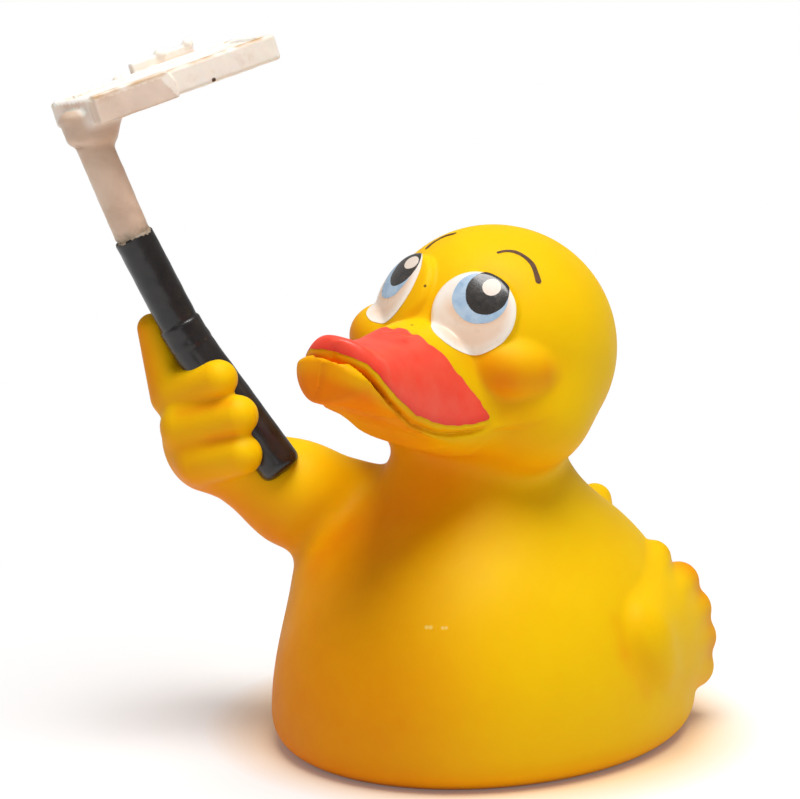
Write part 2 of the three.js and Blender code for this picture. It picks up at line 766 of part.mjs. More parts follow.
// A closed three.js geometry as a solid, placed by a matrix.
function solidOf(geometry, matrix) {
  const bare = new THREE.BufferGeometry();
  bare.setAttribute("position", geometry.getAttribute("position"));
  if (geometry.index) bare.setIndex(geometry.index);
  const merged = mergeVertices(bare.applyMatrix4(matrix), 1e-4);
  return solid(merged.attributes.position.array, merged.index.array);
}

// A round bar along a middle line: each station has a place and a radius.
function sweep(stations, segments) {
  const places = stations.map(({ at }) => new THREE.Vector3(...at));
  const points = [];
  const faces = [];
  const side = new THREE.Vector3(0, 1, 0);
  for (let i = 0; i < places.length; i += 1) {
    const from = places[max(i - 1, 0)];
    const to = places[min(i + 1, places.length - 1)];
    const tangent = to.clone().sub(from).normalize();
    const u = side.clone().addScaledVector(tangent, -side.dot(tangent)).normalize();
    const v = new THREE.Vector3().crossVectors(tangent, u);
    for (let s = 0; s < segments; s += 1) {
      const angle = (2 * PI * s) / segments;
      const p = places[i].clone();
      p.addScaledVector(u, stations[i].radius * cos(angle));
      p.addScaledVector(v, stations[i].radius * sin(angle));
      points.push(p.x, p.y, p.z);
    }
  }
  const last = (places.length - 1) * segments;
  for (let s = 0; s < segments; s += 1) {
    const t = (s + 1) % segments;
    for (let i = 0; i < last; i += segments) {
      faces.push(i + s, i + t, i + segments + t, i + s, i + segments + t, i + segments + s);
    }
    if (s > 0 && t > 0) {
      faces.push(0, t, s);
      faces.push(last, last + s, last + t);
    }
  }
  return solid(points, faces);
}

// Stations between two places, or a short step in radius at one place.
function between(a, b, t) {
  return a.map((v, i) => v + t * (b[i] - v));
}

function makeStick() {
  // The foot is rounded over.
  const stations = [15, 45, 75].map((angle) => ({
    at: between(stickFoot, stickBend, (0.045 * (1 - sin(angle * deg)))),
    radius: sleeveRadius * (0.62 + 0.38 * cos((90 - angle) * deg)),
  }));
  stations.push({ at: between(stickFoot, stickBend, 0.3), radius: sleeveRadius });
  stations.push({ at: between(stickFoot, stickBend, 0.85), radius: sleeveRadius });
  stations.push({ at: stickBend, radius: sleeveRadius });
  stations.push({ at: between(stickBend, stickCollar, 0.13), radius: sleeveRadius });
  stations.push({ at: between(stickBend, stickCollar, 0.16), radius: tubeRadius + 0.15 });
  stations.push({ at: between(stickBend, stickCollar, 0.18), radius: tubeRadius });
  stations.push({ at: between(stickBend, stickCollar, 0.6), radius: tubeRadius });
  stations.push({ at: between(stickBend, stickCollar, 0.97), radius: tubeRadius });
  stations.push({ at: stickCollar, radius: tubeRadius - 0.1 });
  stations.push({ at: between(stickCollar, stickHead, 0.05), radius: rodRadius });
  stations.push({ at: between(stickCollar, stickHead, 0.5), radius: rodRadius });
  stations.push({ at: between(stickCollar, stickHead, 0.9), radius: rodRadius });
  // The cup flares out under the slab and turns in again.
  const flare = cupRadius - rodRadius;
  stations.push({ at: stickHead, radius: rodRadius + 0.25 * flare });
  stations.push({ at: between(stickHead, cupTop, 0.35), radius: rodRadius + 0.75 * flare });
  stations.push({ at: between(stickHead, cupTop, 0.7), radius: cupRadius });
  stations.push({ at: cupTop, radius: cupRadius - 0.1 });
  stations.push({ at: between(stickHead, cupTop, 1.15), radius: cupRadius - 0.6 });
  return sweep(stations, 24);
}

// A rounded slab between two outline half sizes, about its middle, in the slab's own axes.
function bar(halfU, halfV, thickness, corner, bevel) {
  const [u, v] = [halfU - bevel, halfV - bevel];
  const r = corner;
  const outline = new THREE.Shape();
  outline.moveTo(-u + r, -v);
  outline.lineTo(u - r, -v);
  outline.absarc(u - r, -v + r, r, -PI / 2, 0);
  outline.lineTo(u, v - r);
  outline.absarc(u - r, v - r, r, 0, PI / 2);
  outline.lineTo(-u + r, v);
  outline.absarc(-u + r, v - r, r, PI / 2, PI);
  outline.lineTo(-u, -v + r);
  outline.absarc(-u + r, -v + r, r, PI, 1.5 * PI);
  const geometry = new THREE.ExtrudeGeometry(outline, {
    depth: thickness - 2 * bevel,
    bevelThickness: bevel,
    bevelSize: bevel,
    bevelSegments: 2,
    curveSegments: 2,
  });
  return geometry.translate(0, 0, -(thickness - 2 * bevel) / 2);
}

function makePhone() {
  const placed = new THREE.Matrix4().makeBasis(phoneAlong, phoneAcross, phoneUp).setPosition(...phonePlace);
  const at = (u, v, w) => placed.clone().multiply(new THREE.Matrix4().makeTranslation(u, v, w));
  let made = solidOf(bar(halfLength, halfWidth, phoneThickness, 1.4, 0.45), placed);
  const well = bar(halfLength - screenBorder, halfWidth - screenBorder, 2, 1, 0.2);
  made = made.subtract(solidOf(well, at(0, 0, halfThick - screenDepth + 1)));
  // The near jaw of the clamp ends in a slant, so it is extruded across the slab.
  const half = halfThick + 0.2;
  const jaw = new THREE.Shape();
  jaw.moveTo(-halfLength + 1, -half);
  jaw.lineTo(-halfLength + clampReach + 4, -half);
  jaw.lineTo(-halfLength + clampReach + 1.6, half - 0.5);
  jaw.lineTo(-halfLength + 1, half - 0.5);
  const nearJaw = new THREE.ExtrudeGeometry(jaw, {
    depth: 1,
    bevelThickness: 0.3,
    bevelSize: 0.3,
    bevelOffset: -0.3,
    bevelSegments: 2,
  });
  // The jaw's outline stands along the slab and up; it is pushed out across the slab.
  const upright = new THREE.Matrix4().makeRotationX(PI / 2);
  made = made.add(solidOf(nearJaw, at(0, -halfWidth + 0.6, 0).multiply(upright)));
  made = made.add(solidOf(bar(5.2, 0.8, 4.8, 0.5, 0.3), at(3.6, halfWidth - 0.1, 1.2)));
  for (const [u, w] of jawNubs) {
    const nub = new THREE.SphereGeometry(0.85, 10, 6);
    made = made.add(solidOf(nub, at(u, halfWidth - 0.4, w)));
  }
  return made;
}

const flangeSeat = clearance + flangeThickness + clearance; // depth of the recess in the base
const squeakerTop = floorThickness + clearance + flangeThickness;

function geometryOf(made) {
  const mesh = made.getMesh();
  const geometry = new THREE.BufferGeometry();
  const stride = mesh.numProp;
  const count = mesh.vertProperties.length / stride;
  const position = new Float32Array(count * 3);
  for (let i = 0; i < count; i += 1)
    for (let axis = 0; axis < 3; axis += 1) position[3 * i + axis] = mesh.vertProperties[stride * i + axis];
  geometry.setAttribute("position", new THREE.BufferAttribute(position, 3));
  geometry.setIndex(new THREE.BufferAttribute(new Uint32Array(mesh.triVerts), 1));
  geometry.computeVertexNormals();
  return geometry;
}

// Cuts the base off flat at the table.
function stoodFlat(mesh) {
  const { points } = mesh;
  for (let i = 2; i < points.length; i += 3) points[i] = max(points[i], 0);
  return mesh;
}

// The face, the hand and the feathers carry finer detail than the body, so their error counts for more.
const faceMiddle = headPlace.map((v, i) => v + 0.62 * billReach * headAxes[1][i]);

function detailWeight(x, y, z) {
  const [dx, dy, dz] = [x - faceMiddle[0], y - faceMiddle[1], z - faceMiddle[2]];
  if (sqrt(dx * dx + dy * dy + dz * dz) < billReach / 2) return 5;
  if (x < elbow[0] && z > elbow[2]) return 3;
  if (x > bodyWidth / 4 && z < bodyTop - 5 && z > 2) return 2;
  return 1;
}

function makeDuck() {
  // The range to sculpt in: the hand at -X, the bill at -Y, the tail at +Y and the head on top.
  const bill = billReach + underbite;
  const low = [min(thumbTip[0] - 7, -bodyWidth / 2 - 5), -max(bill, bodyLength / 2) - 4, -1.7];
  const high = [max(bodyWidth / 2, headRadius) + 6, bodyLength / 2 + 4, headHeight + headRadius + 5];
  const sculpt = simplify(polygonise(duckField, low, high, skinCell), skinTriangles, detailWeight);
  const skin = stoodFlat(settle(sculpt, duckField));
  const cavity = settle(
    simplify(polygonise(cavityField, low, high, cavityCell), cavityTriangles, () => 1),
    cavityField,
  );
  const opening = plug(
    squeakerFlange + clearance,
    squeakerBarrel + clearance,
    -1,
    flangeSeat,
    floorThickness + 3,
    40,
  );
  const outside = solid(skin.points, skin.faces).add(makeStick()).add(makePhone());
  const shell = outside.subtract(solid(cavity.points, cavity.faces));
  const mesh = new THREE.Mesh(
    geometryOf(shell.subtract(opening)),
    new THREE.MeshStandardMaterial({ color: 0xf5c211, roughness: 0.55, metalness: 0 }),
  );
  mesh.name = "duck";
  return mesh;
}

function makeSqueaker() {
  const low = clearance;
  const profile = [
    [airHole, low],
    [squeakerFlange, low],
    [squeakerFlange, low + flangeThickness],
    [squeakerBarrel, low + flangeThickness],
    [squeakerBarrel, floorThickness + clearance],
    [squeakerLip, floorThickness + clearance],
    [squeakerBarrel, squeakerTop],
    [airHole, squeakerTop],
  ];
  const { points, faces } = turned(profile, 40);
  const geometry = new THREE.BufferGeometry();
  geometry.setAttribute("position", new THREE.BufferAttribute(Float32Array.from(points), 3));
  geometry.setIndex(faces);
  geometry.computeVertexNormals();
  const mesh = new THREE.Mesh(
    geometry,
    new THREE.MeshStandardMaterial({ color: 0xefe9dc, roughness: 0.4, metalness: 0 }),
  );
  mesh.name = "squeaker";
  return mesh;
}

const toy = new THREE.Group();
toy.name = "rubber_duck";
toy.add(makeDuck(), makeSqueaker());

export default toy;
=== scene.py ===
"""Looks of the cast latex duck that holds a camera stick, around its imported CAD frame.

The shapes are worked out in millimetres and turned into metres when a mesh is made. The duck's own
mesh is a finer skin over the same sculpted form as the CAD node, and paint lies on it as thin films.
"""
import math

import bpy
import numpy as np
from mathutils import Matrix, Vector


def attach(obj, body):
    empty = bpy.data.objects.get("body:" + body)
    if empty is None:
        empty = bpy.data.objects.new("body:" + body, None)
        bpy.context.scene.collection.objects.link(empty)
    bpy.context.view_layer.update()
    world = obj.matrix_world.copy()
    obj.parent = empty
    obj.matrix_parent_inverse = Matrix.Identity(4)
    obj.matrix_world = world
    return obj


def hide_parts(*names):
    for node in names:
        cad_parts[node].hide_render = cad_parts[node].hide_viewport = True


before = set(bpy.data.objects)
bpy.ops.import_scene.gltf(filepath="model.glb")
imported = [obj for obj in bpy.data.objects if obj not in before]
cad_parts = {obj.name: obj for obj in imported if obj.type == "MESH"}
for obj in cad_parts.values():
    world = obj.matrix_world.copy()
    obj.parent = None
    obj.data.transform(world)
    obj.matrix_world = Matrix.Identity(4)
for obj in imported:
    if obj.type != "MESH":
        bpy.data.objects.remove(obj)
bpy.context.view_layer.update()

MM = 0.001
# Past this far from a piece of the field, only a bound for it is worked out.
BOUND_MARGIN = 8

# The camera stands where the photograph's did, found by fitting the CAD form to its outlines.
CAMERA_PLACE = (335.13, -465.78, 182.37)
CAMERA_BACK = (0.5864, -0.7782, 0.2250)
LENS = 181.2


def smooth_min(a, b, radius):
    near = np.maximum(radius - np.abs(a - b), 0) / radius
    return np.minimum(a, b) - near * near * radius * 0.25


def smooth_max(a, b, radius):
    return -smooth_min(-a, -b, radius)


def length(v):
    return np.sqrt((v * v).sum(-1))


def nearby(points, centre, reach, field):
    """The field where it matters, and only a bound for it further away."""
    away = length(points - np.asarray(centre, np.float32)) - reach
    out = away
    close = away < BOUND_MARGIN
    if close.any():
        out = away.copy()
        out[close] = field(points[close])
    return out


def ellipsoid(centre, radii):
    centre = np.asarray(centre, np.float32)
    radii = np.asarray(radii, np.float32)

    def field(points):
        q = points - centre
        k0 = length(q / radii)
        k1 = length(q / (radii * radii))
        return k0 * (k0 - 1) / np.maximum(k1, 1e-9)

    return lambda points: nearby(points, centre, radii.max(), field)


def limb(a, b, ra, rb):
    """A tapered limb with round ends."""
    a = np.asarray(a, np.float32)
    b = np.asarray(b, np.float32)
    axis = b - a
    l2 = float(axis @ axis)
    rr = ra - rb
    a2 = l2 - rr * rr

    def field(points):
        q = points - a
        along = q @ axis
        past = along - l2
        side = q * l2 - along[:, None] * axis
        x2 = (side * side).sum(-1)
        y2 = along * along * l2
        z2 = past * past * l2
        k = np.sign(rr) * rr * rr * x2
        beyond = np.sign(past) * a2 * z2 > k
        before = np.sign(along) * a2 * y2 < k
        out = (np.sqrt(x2 * a2 / l2) + along * rr) / l2 - ra
        out = np.where(before, np.sqrt(x2 + y2) / l2 - ra, out)
        return np.where(beyond, np.sqrt(x2 + z2) / l2 - rb, out)

    return lambda points: nearby(points, (a + b) / 2, math.sqrt(l2) / 2 + max(ra, rb), field)


def joined(fields, radius):
    def field(points):
        out = fields[0](points)
        for other in fields[1:]:
            out = smooth_min(out, other(points), radius)
        return out

    return field


# The body. Its base is trimmed flat at the table.
BASE_TRIM = 0.3
BODY = ellipsoid((0, 0, 5), (29.4, 35, 34.4))
SHOULDER = limb((-10, -9, 12), (-11.5, -10, 22), 15.5, 13.3)
NECK = limb((-1.0, -0.6, 29.5), (-0.9, -0.9, 49.4), 14.8, 10.8)
TAIL = limb((0, 20, 18), (0, 28.4, 28.9), 8.6, 2.6)
FEATHER_TIPS = (
    ((23.2, 3.0, 17.8), (17.8, 17.6, 24.9), 2.8),
    ((23.3, 3.2, 17.0), (20.2, 21.1, 20.9), 3.1),
    ((23.4, 3.4, 16.0), (21.5, 22.2, 16.7), 3.3),
    ((23.5, 4.0, 14.6), (22.0, 22.7, 12.4), 3.4),
    ((23.4, 5.0, 12.4), (21.9, 22.3, 8.0), 3.4),
)
FEATHERS = [limb(root, tip, 6.1, radius) for root, tip, radius in FEATHER_TIPS]


def wing(points):
    return nearby(points, (22, 12, 16), 24, joined(FEATHERS, 1.4))


def body(points):
    out = smooth_min(BODY(points), SHOULDER(points), 3)
    out = smooth_max(out, -points[:, 2] - BASE_TRIM, 5)
    out = smooth_min(out, NECK(points), 7)
    out = smooth_min(out, TAIL(points), 4)
    return smooth_min(out, wing(points), 1.0)


# The raised wing.
ELBOW = (-23.5, -15.3, 35.2)
ARM = joined([limb((-18.6, -8, 31.0), ELBOW, 8.4, 7.3), limb(ELBOW, (-29.5, -21.2, 39.8), 7.3, 5.6)], 3)
FINGERS = (
    ((-35.9, -26.4, 50.9), (-28.4, -27.0, 54.0), 3.6, 2.8),
    ((-34.1, -27.7, 46.3), (-25.2, -26.6, 48.9), 3.8, 3.0),
    ((-31.8, -27.4, 41.4), (-24.3, -26.9, 43.3), 3.6, 3.0),
)
HEEL_OF_HAND = ellipsoid((-33.2, -23.6, 44.4), (7.0, 6.8, 8.6))
PALM = joined([HEEL_OF_HAND] + [limb(*finger) for finger in FINGERS], 1.2)
THUMB = limb((-38.2, -26.0, 50.0), (-40.6, -27.4, 60.0), 3.2, 2.2)


def fist(points):
    return smooth_min(PALM(points), THUMB(points), 1.5)


# The head, in its own axes: left, forward, up.
HEAD = np.array((0, 0, 57.4), np.float32)
HEAD_RADIUS = 17.8
SKULL = np.array((0.9, -0.6, 0.6), np.float32)
# Turned about 5 degrees to the duck's left, tipped up about 12 and rolled about 5.5, left side down.
HEAD_AXES = np.array(
    ((0.99326, 0.06690, -0.09427), (0.08525, -0.97443, 0.20791), (0.07795, 0.21454, 0.97360)), np.float32
)
JOWLS = joined([ellipsoid((side * 10.6, 3.4, -7.6), (8.2, 8.2, 7.6)) for side in (1, -1)], 0.1)
CHEEKS = joined([ellipsoid((side * 9.2, 8.9, -0.7), (7.5, 7.5, 5.5)) for side in (1, -1)], 0.1)
NOSTRILS = joined([ellipsoid((side * 1.7, 25.6, 2.3), (1.0, 1.4, 0.75)) for side in (1, -1)], 0.1)
BILL_STATIONS = {
    "width": (
        (6, 9.5), (10, 11), (14, 11.3), (17, 10.2), (20.4, 9.1),
        (24, 8.4), (29.3, 7.7), (35.5, 7), (40, 6.5),
    ),
    "lip": (
        (6, -6), (10, -7), (14, -8.4), (17, -9.5), (20.4, -10.1),
        (24, -10), (29.3, -9), (35.5, -6.1), (40, -3.4),
    ),
    "ridge": (
        (6, -2), (10, 1), (14, 3), (17, 3.4), (20.4, 3.3),
        (24, 2.4), (29.3, 0.5), (35.5, -0.6), (40, 0.6),
    ),
    "under": (
        (6, -13), (14, -15.2), (20.4, -14.2), (24, -12.3),
        (27, -10.9), (31, -9.7), (36, -9.3), (40, -8.8),
    ),
}
BILL_REACH = 41.6
LIP_BLEND = 0.6
UNDERBITE = 2.2
# Towards where each eye looks: degrees to the duck's left, and up.
EYE_PLACES = {1: (16.6, 18.0), -1: (-31.0, 19.5)}
EYE_RADIUS = 6.3
EYE_RELIEF = 1.2


def station(name, f):
    where, value = zip(*BILL_STATIONS[name])
    return np.interp(f, where, value)


def lip_height(l, f):
    arch = 1.5 * np.maximum(0, 1 - (l / 7) ** 2) * np.clip((f - 24) / 12, 0, 1)
    return station("lip", f) + arch


def section(l, u, half, centre, above, below, pow_above, pow_below):
    """A blunt-sided cross-section of the bill."""
    high = u > centre
    rise = np.where(high, above, below)
    power = np.where(high, pow_above, pow_below)
    gl = np.abs(l) / half
    gu = np.abs(u - centre) / rise
    g = np.sqrt(gl**3 + gu**power + 1e-9)
    dl = 3 * gl * gl / half / (2 * g)
    du = power * gu ** (power - 1) / rise / (2 * g)
    return np.maximum((g - 1) / np.maximum(np.sqrt(dl * dl + du * du), 0.1), -3)


def round_tip(f, start, end):
    return np.sqrt(1 - np.clip((f - start) / (end - start), 0, 0.999) ** 2.4)


def bill(q):
    l, f, u = q[:, 0], q[:, 1], q[:, 2]
    width = station("width", f)
    lip = lip_height(l, f)
    lower = lip - 1.5
    upper_width = width * round_tip(f, BILL_REACH - 5.6, BILL_REACH)
    under_width = (width - 0.3) * round_tip(f, BILL_REACH - 3, BILL_REACH + UNDERBITE)
    upper = section(l, u, upper_width, lip, np.maximum(station("ridge", f) - lip, 1), 1.2, 1.6, 2.2)
    under = section(l, u, under_width, lower, 1.2, np.maximum(lower - station("under", f), 0.6), 2.2, 1.8)
    upper = smooth_max(upper, f - BILL_REACH, 1.2)
    under = smooth_max(under, f - BILL_REACH - UNDERBITE, 1.2)
    return smooth_max(upper, 4 - f, 1), smooth_max(under, 4 - f, 1)


def mouth_groove(q, upper):
    """The parting between the lips, wider in front where the lower lip reaches further."""
    front = np.clip((q[:, 1] - 26) / 13, 0, 1)
    drop = q[:, 2] - lip_height(q[:, 0], q[:, 1]) + 0.75
    across = upper - 0.3 - 0.45 * front
    return np.sqrt(across * across + drop * drop) + 0.4 - 1.2 * front


def direction(spread, lift):
    s, t = math.radians(spread), math.radians(lift)
    return np.array((math.sin(s) * math.cos(t), math.cos(s) * math.cos(t), math.sin(t)), np.float32)


def head_local(q):
    v = q - SKULL
    r = length(v)
    skull = smooth_min(r - HEAD_RADIUS, JOWLS(q), 5)
    skull = smooth_min(skull, CHEEKS(q), 0.8)
    upper, under = bill(q)
    mouth = smooth_min(smooth_min(skull, upper, 1.4), smooth_min(skull, under, 4), LIP_BLEND)
    mouth = smooth_max(mouth, -mouth_groove(q, upper), 0.5)
    ahead = np.clip((q[:, 1] + 1) / 5, 0, 1)
    out = skull + ahead * (smooth_max(mouth, -NOSTRILS(q), 0.4) - skull)
    for side in (1, -1):
        axis = direction(*EYE_PLACES[side])
        t = v @ axis
        off = np.sqrt(np.maximum(r * r - t * t, 0))
        dome = smooth_max(smooth_max(r - HEAD_RADIUS - EYE_RELIEF, off - EYE_RADIUS, 1), -t, 1)
        out = smooth_min(out, dome, 0.5)
    return out


def head_coordinates(points):
    return (points - HEAD) @ HEAD_AXES.T


def head(points):
    return nearby(points, HEAD, BILL_REACH + 4, lambda close: head_local(head_coordinates(close)))


def duck(points):
    out = smooth_min(body(points), ARM(points), 3)
    out = smooth_min(out, head(points), 3)
    return smooth_min(out, nearby(points, (-34, -26, 48), 20, fist), 1.5)


# The stick, from its foot on the forearm to the cup under the slab.
FOOT = np.array((-20.9, -21.3, 40.1))
BEND = np.array((-34.7, -26.4, 58.9))
COLLAR = np.array((-40.8, -31.1, 74.3))
STICK_HEAD = np.array((-45.0, -34.8, 88.1))
CUP_TOP = np.array((-45.8, -34.4, 91.8))
SLEEVE_RADIUS = 3.15
TUBE_RADIUS = 2.9
ROD_RADIUS = 2.62
CUP_RADIUS = 4.4


def between(a, b, t):
    return a + (b - a) * t


def tube(a, b, ra, rb, edge):
    """A round bar with flat ends, its edges rounded."""
    a = np.asarray(a, np.float32)
    axis = np.asarray(b, np.float32) - a
    reach = math.sqrt(float(axis @ axis))
    axis = axis / reach

    def field(points):
        q = points - a
        t = q @ axis
        off = length(q - t[:, None] * axis)
        radius = ra + (rb - ra) * np.clip(t / reach, 0, 1)
        return smooth_max(off - radius, np.abs(t - reach / 2) - reach / 2, edge)

    return lambda points: nearby(points, a + axis * reach / 2, reach / 2 + max(ra, rb), field)


CUP_RIM = between(STICK_HEAD, CUP_TOP, 0.8)
CUP_END = between(STICK_HEAD, CUP_TOP, 1.2)
STICK_PARTS = [
    (tube(FOOT, BEND, SLEEVE_RADIUS, SLEEVE_RADIUS, 1.6), 0.1),
    (tube(between(BEND, FOOT, 0.03), between(BEND, COLLAR, 0.16), SLEEVE_RADIUS, SLEEVE_RADIUS, 0.5), 0.6),
    (tube(BEND, COLLAR, TUBE_RADIUS, TUBE_RADIUS, 0.4), 0.3),
    (tube(COLLAR, STICK_HEAD, ROD_RADIUS, ROD_RADIUS, 0.4), 0.3),
    (tube(between(STICK_HEAD, CUP_TOP, -0.1), CUP_TOP, 3.5, CUP_RADIUS + 0.3, 1.0), 0.9),
    (tube(CUP_RIM, CUP_END, CUP_RADIUS, CUP_RADIUS - 0.3, 0.8), 0.8),
]

# The slab on the stick: along its length, across it, and up.
SLAB_PLACE = np.array((-42.3, -21.6, 95.6))
SLAB_ALONG = np.array((0.3836, 0.8919, 0.2396))
SLAB_ALONG = SLAB_ALONG / np.linalg.norm(SLAB_ALONG)
SLAB_ACROSS = np.array((-0.8846, 0.4294, -0.1819))
SLAB_ACROSS = SLAB_ACROSS - SLAB_ALONG * (SLAB_ACROSS @ SLAB_ALONG)
SLAB_ACROSS = SLAB_ACROSS / np.linalg.norm(SLAB_ACROSS)
SLAB_UP = np.cross(SLAB_ALONG, SLAB_ACROSS)
SLAB_SIZE = (31.0, 15.0, 3.9)
SCREEN_DEPTH = 0.45
SCREEN_BORDER = 1.3
CLAMP_REACH = 11.0
NUBS = ((-4.2, 1.8), (3.4, 3.5), (8.2, 3.5))


def slab_coordinates(points):
    axes = np.stack((SLAB_ALONG, SLAB_ACROSS, SLAB_UP), 1)
    return (points - SLAB_PLACE.astype(np.float32)) @ axes.astype(np.float32)


def box(q, centre, half, rounding):
    d = np.abs(q - np.asarray(centre, np.float32)) - (np.asarray(half, np.float32) - rounding)
    outside = length(np.maximum(d, 0))
    return outside + np.minimum(d.max(-1), 0) - rounding


def slab_local(q):
    half_length, half_width, half_thick = (size / 2 for size in SLAB_SIZE)
    out = box(q, (0, 0, 0), (half_length, half_width, half_thick), 0.6)
    screen = (half_length - SCREEN_BORDER, half_width - SCREEN_BORDER, 1)
    well = box(q, (0, 0, half_thick + 1 - SCREEN_DEPTH), screen, 0.3)
    out = smooth_max(out, -well, 0.3)
    jaw = box(q, (-half_length + 7, -half_width, 0), (6.5, 0.75, half_thick + 0.2), 0.3)
    slant = (q[:, 0] + half_length - CLAMP_REACH - 2.8) * 0.86 + q[:, 2] * 0.5
    out = smooth_min(out, smooth_max(jaw, slant, 0.4), 0.4)
    out = smooth_min(out, box(q, (3.6, half_width - 0.1, 1.2), (5.2, 0.8, 2.4), 0.4), 0.4)
    for v, reach in ((half_width - 1.5, half_length - 1.2), (half_width - 2.6, half_length - 4)):
        out = smooth_min(out, box(q, (-1.0, v, half_thick - 0.2), (reach, 0.32, 0.4), 0.2), 0.3)
    for u, w in NUBS:
        out = smooth_min(out, length(q - np.array((u, half_width - 0.4, w), np.float32)) - 0.85, 0.3)
    return out


def slab(points):
    return nearby(points, SLAB_PLACE, 18, lambda close: slab_local(slab_coordinates(close)))


def stick(points):
    out = STICK_PARTS[0][0](points)
    for part, radius in STICK_PARTS[1:]:
        out = smooth_min(out, part(points), radius)
    out = smooth_min(out, slab(points), 0.8)
    return out + 0.03 * ripple(points, 2.6)


def ripple(points, pitch):
    """Gentle unevenness of a hand-finished surface, from -1 to 1."""
    p = points * (2 * math.pi / pitch)
    x, y, z = p[:, 0], p[:, 1], p[:, 2]
    first = np.sin(x + 1.3 * np.sin(0.7 * y))
    second = np.sin(1.1 * y + 1.7 * np.sin(0.6 * z))
    third = np.sin(0.9 * z + x * 0.4)
    return (first + second + third) / 3


# The squeaker's hole in the base.
SQUEAKER_PLACE = (0, 12)
RECESS = ((7.5, 1.8), (5.5, 8.0))


def squeaker_hole(points):
    off = np.sqrt((points[:, 0] - SQUEAKER_PLACE[0]) ** 2 + (points[:, 1] - SQUEAKER_PLACE[1]) ** 2)
    wide = np.maximum(off - RECESS[0][0], points[:, 2] - RECESS[0][1])
    return np.minimum(wide, np.maximum(off - RECESS[1][0], points[:, 2] - RECESS[1][1]))


def skin(points):
    return smooth_max(duck(points), -squeaker_hole(points), 0.3)


def surface_net(field, low, high, cell):
    """A quad mesh over a field's zero level, open only where it leaves the box.

    The field is read once for each block of cells, and cell by cell only near its zero level.
    """
    block = 4
    low = np.asarray(low, np.float32)
    blocks = np.ceil((np.asarray(high) - low) / cell / block).astype(int)
    axes = [low[i] + cell * (block * np.arange(blocks[i]) + block / 2) for i in range(3)]
    centres = np.stack(np.meshgrid(*axes, indexing="ij"), -1).reshape(-1, 3).astype(np.float32)
    coarse = in_chunks(field, centres).reshape(blocks)
    # Half a block's diagonal, with slack for a field that isn't quite a distance.
    needed = np.abs(coarse) < block * cell * 0.87 * 1.3 + 0.6
    for axis in range(3):
        shifted = np.zeros_like(needed)
        source = [slice(None)] * 3
        target = [slice(None)] * 3
        source[axis] = slice(0, -1)
        target[axis] = slice(1, None)
        shifted[tuple(target)] = needed[tuple(source)]
        needed |= shifted
    value = np.where(coarse < 0, -9.0, 9.0).astype(np.float32)
    for axis in range(3):
        value = value.repeat(block, axis)
        needed = needed.repeat(block, axis)
    where = np.argwhere(needed)
    value[needed] = in_chunks(field, (low + cell * where).astype(np.float32))

    inside = value < 0
    count = np.zeros(tuple(n - 1 for n in value.shape), np.int8)
    for i in (0, 1):
        for j in (0, 1):
            for k in (0, 1):
                count += inside[i : i + count.shape[0], j : j + count.shape[1], k : k + count.shape[2]]
    # One vertex in each cell that the surface crosses, at the mean of the crossings on its edges.
    cells = np.argwhere((count > 0) & (count < 8))
    number = np.full(count.shape, -1, np.int32)
    number[tuple(cells.T)] = np.arange(len(cells))
    offsets = np.array([(i, j, k) for i in (0, 1) for j in (0, 1) for k in (0, 1)])
    corner = np.stack([value[tuple((cells + o).T)] for o in offsets], 1)
    total = np.zeros((len(cells), 3))
    hits = np.zeros(len(cells))
    for a in range(8):
        for b in range(a + 1, 8):
            if np.abs(offsets[a] - offsets[b]).sum() != 1:
                continue
            crossed = (corner[:, a] < 0) != (corner[:, b] < 0)
            t = np.where(crossed, corner[:, a] / np.where(crossed, corner[:, a] - corner[:, b], 1), 0)
            total += np.where(crossed[:, None], offsets[a] + t[:, None] * (offsets[b] - offsets[a]), 0)
            hits += crossed
    points = low + cell * (cells + total / hits[:, None])

    # One quad around each grid edge that the surface crosses.
    quads = []
    for axis in range(3):
        u, v = (axis + 1) % 3, (axis + 2) % 3
        ahead = [slice(None)] * 3
        behind = [slice(None)] * 3
        ahead[axis] = slice(1, None)
        behind[axis] = slice(0, -1)
        edge = np.argwhere(inside[tuple(ahead)] != inside[tuple(behind)])
        for side in (u, v):
            edge = edge[(edge[:, side] > 0) & (edge[:, side] < inside.shape[side] - 1)]
        ring = []
        for du, dv in ((-1, -1), (0, -1), (0, 0), (-1, 0)):
            at = edge.copy()
            at[:, u] += du
            at[:, v] += dv
            ring.append(number[tuple(at.T)])
        ring = np.stack(ring, 1)
        starts_inside = inside[tuple(edge.T)]
        ring[~starts_inside] = ring[~starts_inside][:, ::-1]
        quads.append(ring)
    quads = np.concatenate(quads)
    points = settled(field, points, cell)
    return points, quads


def thinned(points, quads, share):
    """The same surface with fewer triangles where it is nearly flat."""
    mesh = bpy.data.meshes.new("net")
    mesh.from_pydata(points.tolist(), [], quads.tolist())
    made = bpy.data.objects.new("net", mesh)
    bpy.context.scene.collection.objects.link(made)
    made.modifiers.new("thin", "DECIMATE").ratio = share
    result = made.evaluated_get(bpy.context.evaluated_depsgraph_get()).to_mesh()
    result.calc_loop_triangles()
    where = np.empty(len(result.vertices) * 3, np.float32)
    result.vertices.foreach_get("co", where)
    faces = np.empty(len(result.loop_triangles) * 3, np.int32)
    result.loop_triangles.foreach_get("vertices", faces)
    bpy.data.objects.remove(made)
    bpy.data.meshes.remove(mesh)
    return where.reshape(-1, 3).astype(np.float64), faces.reshape(-1, 3)


def in_chunks(field, points, size=300000):
    """A field at many points, a part of them at a time to spare memory."""
    parts = [field(points[i : i + size]) for i in range(0, len(points), size)]
    return np.concatenate(parts).astype(np.float32)


TETRAHEDRON = np.array(((1, -1, -1), (-1, -1, 1), (-1, 1, -1), (1, 1, 1)), np.float32)


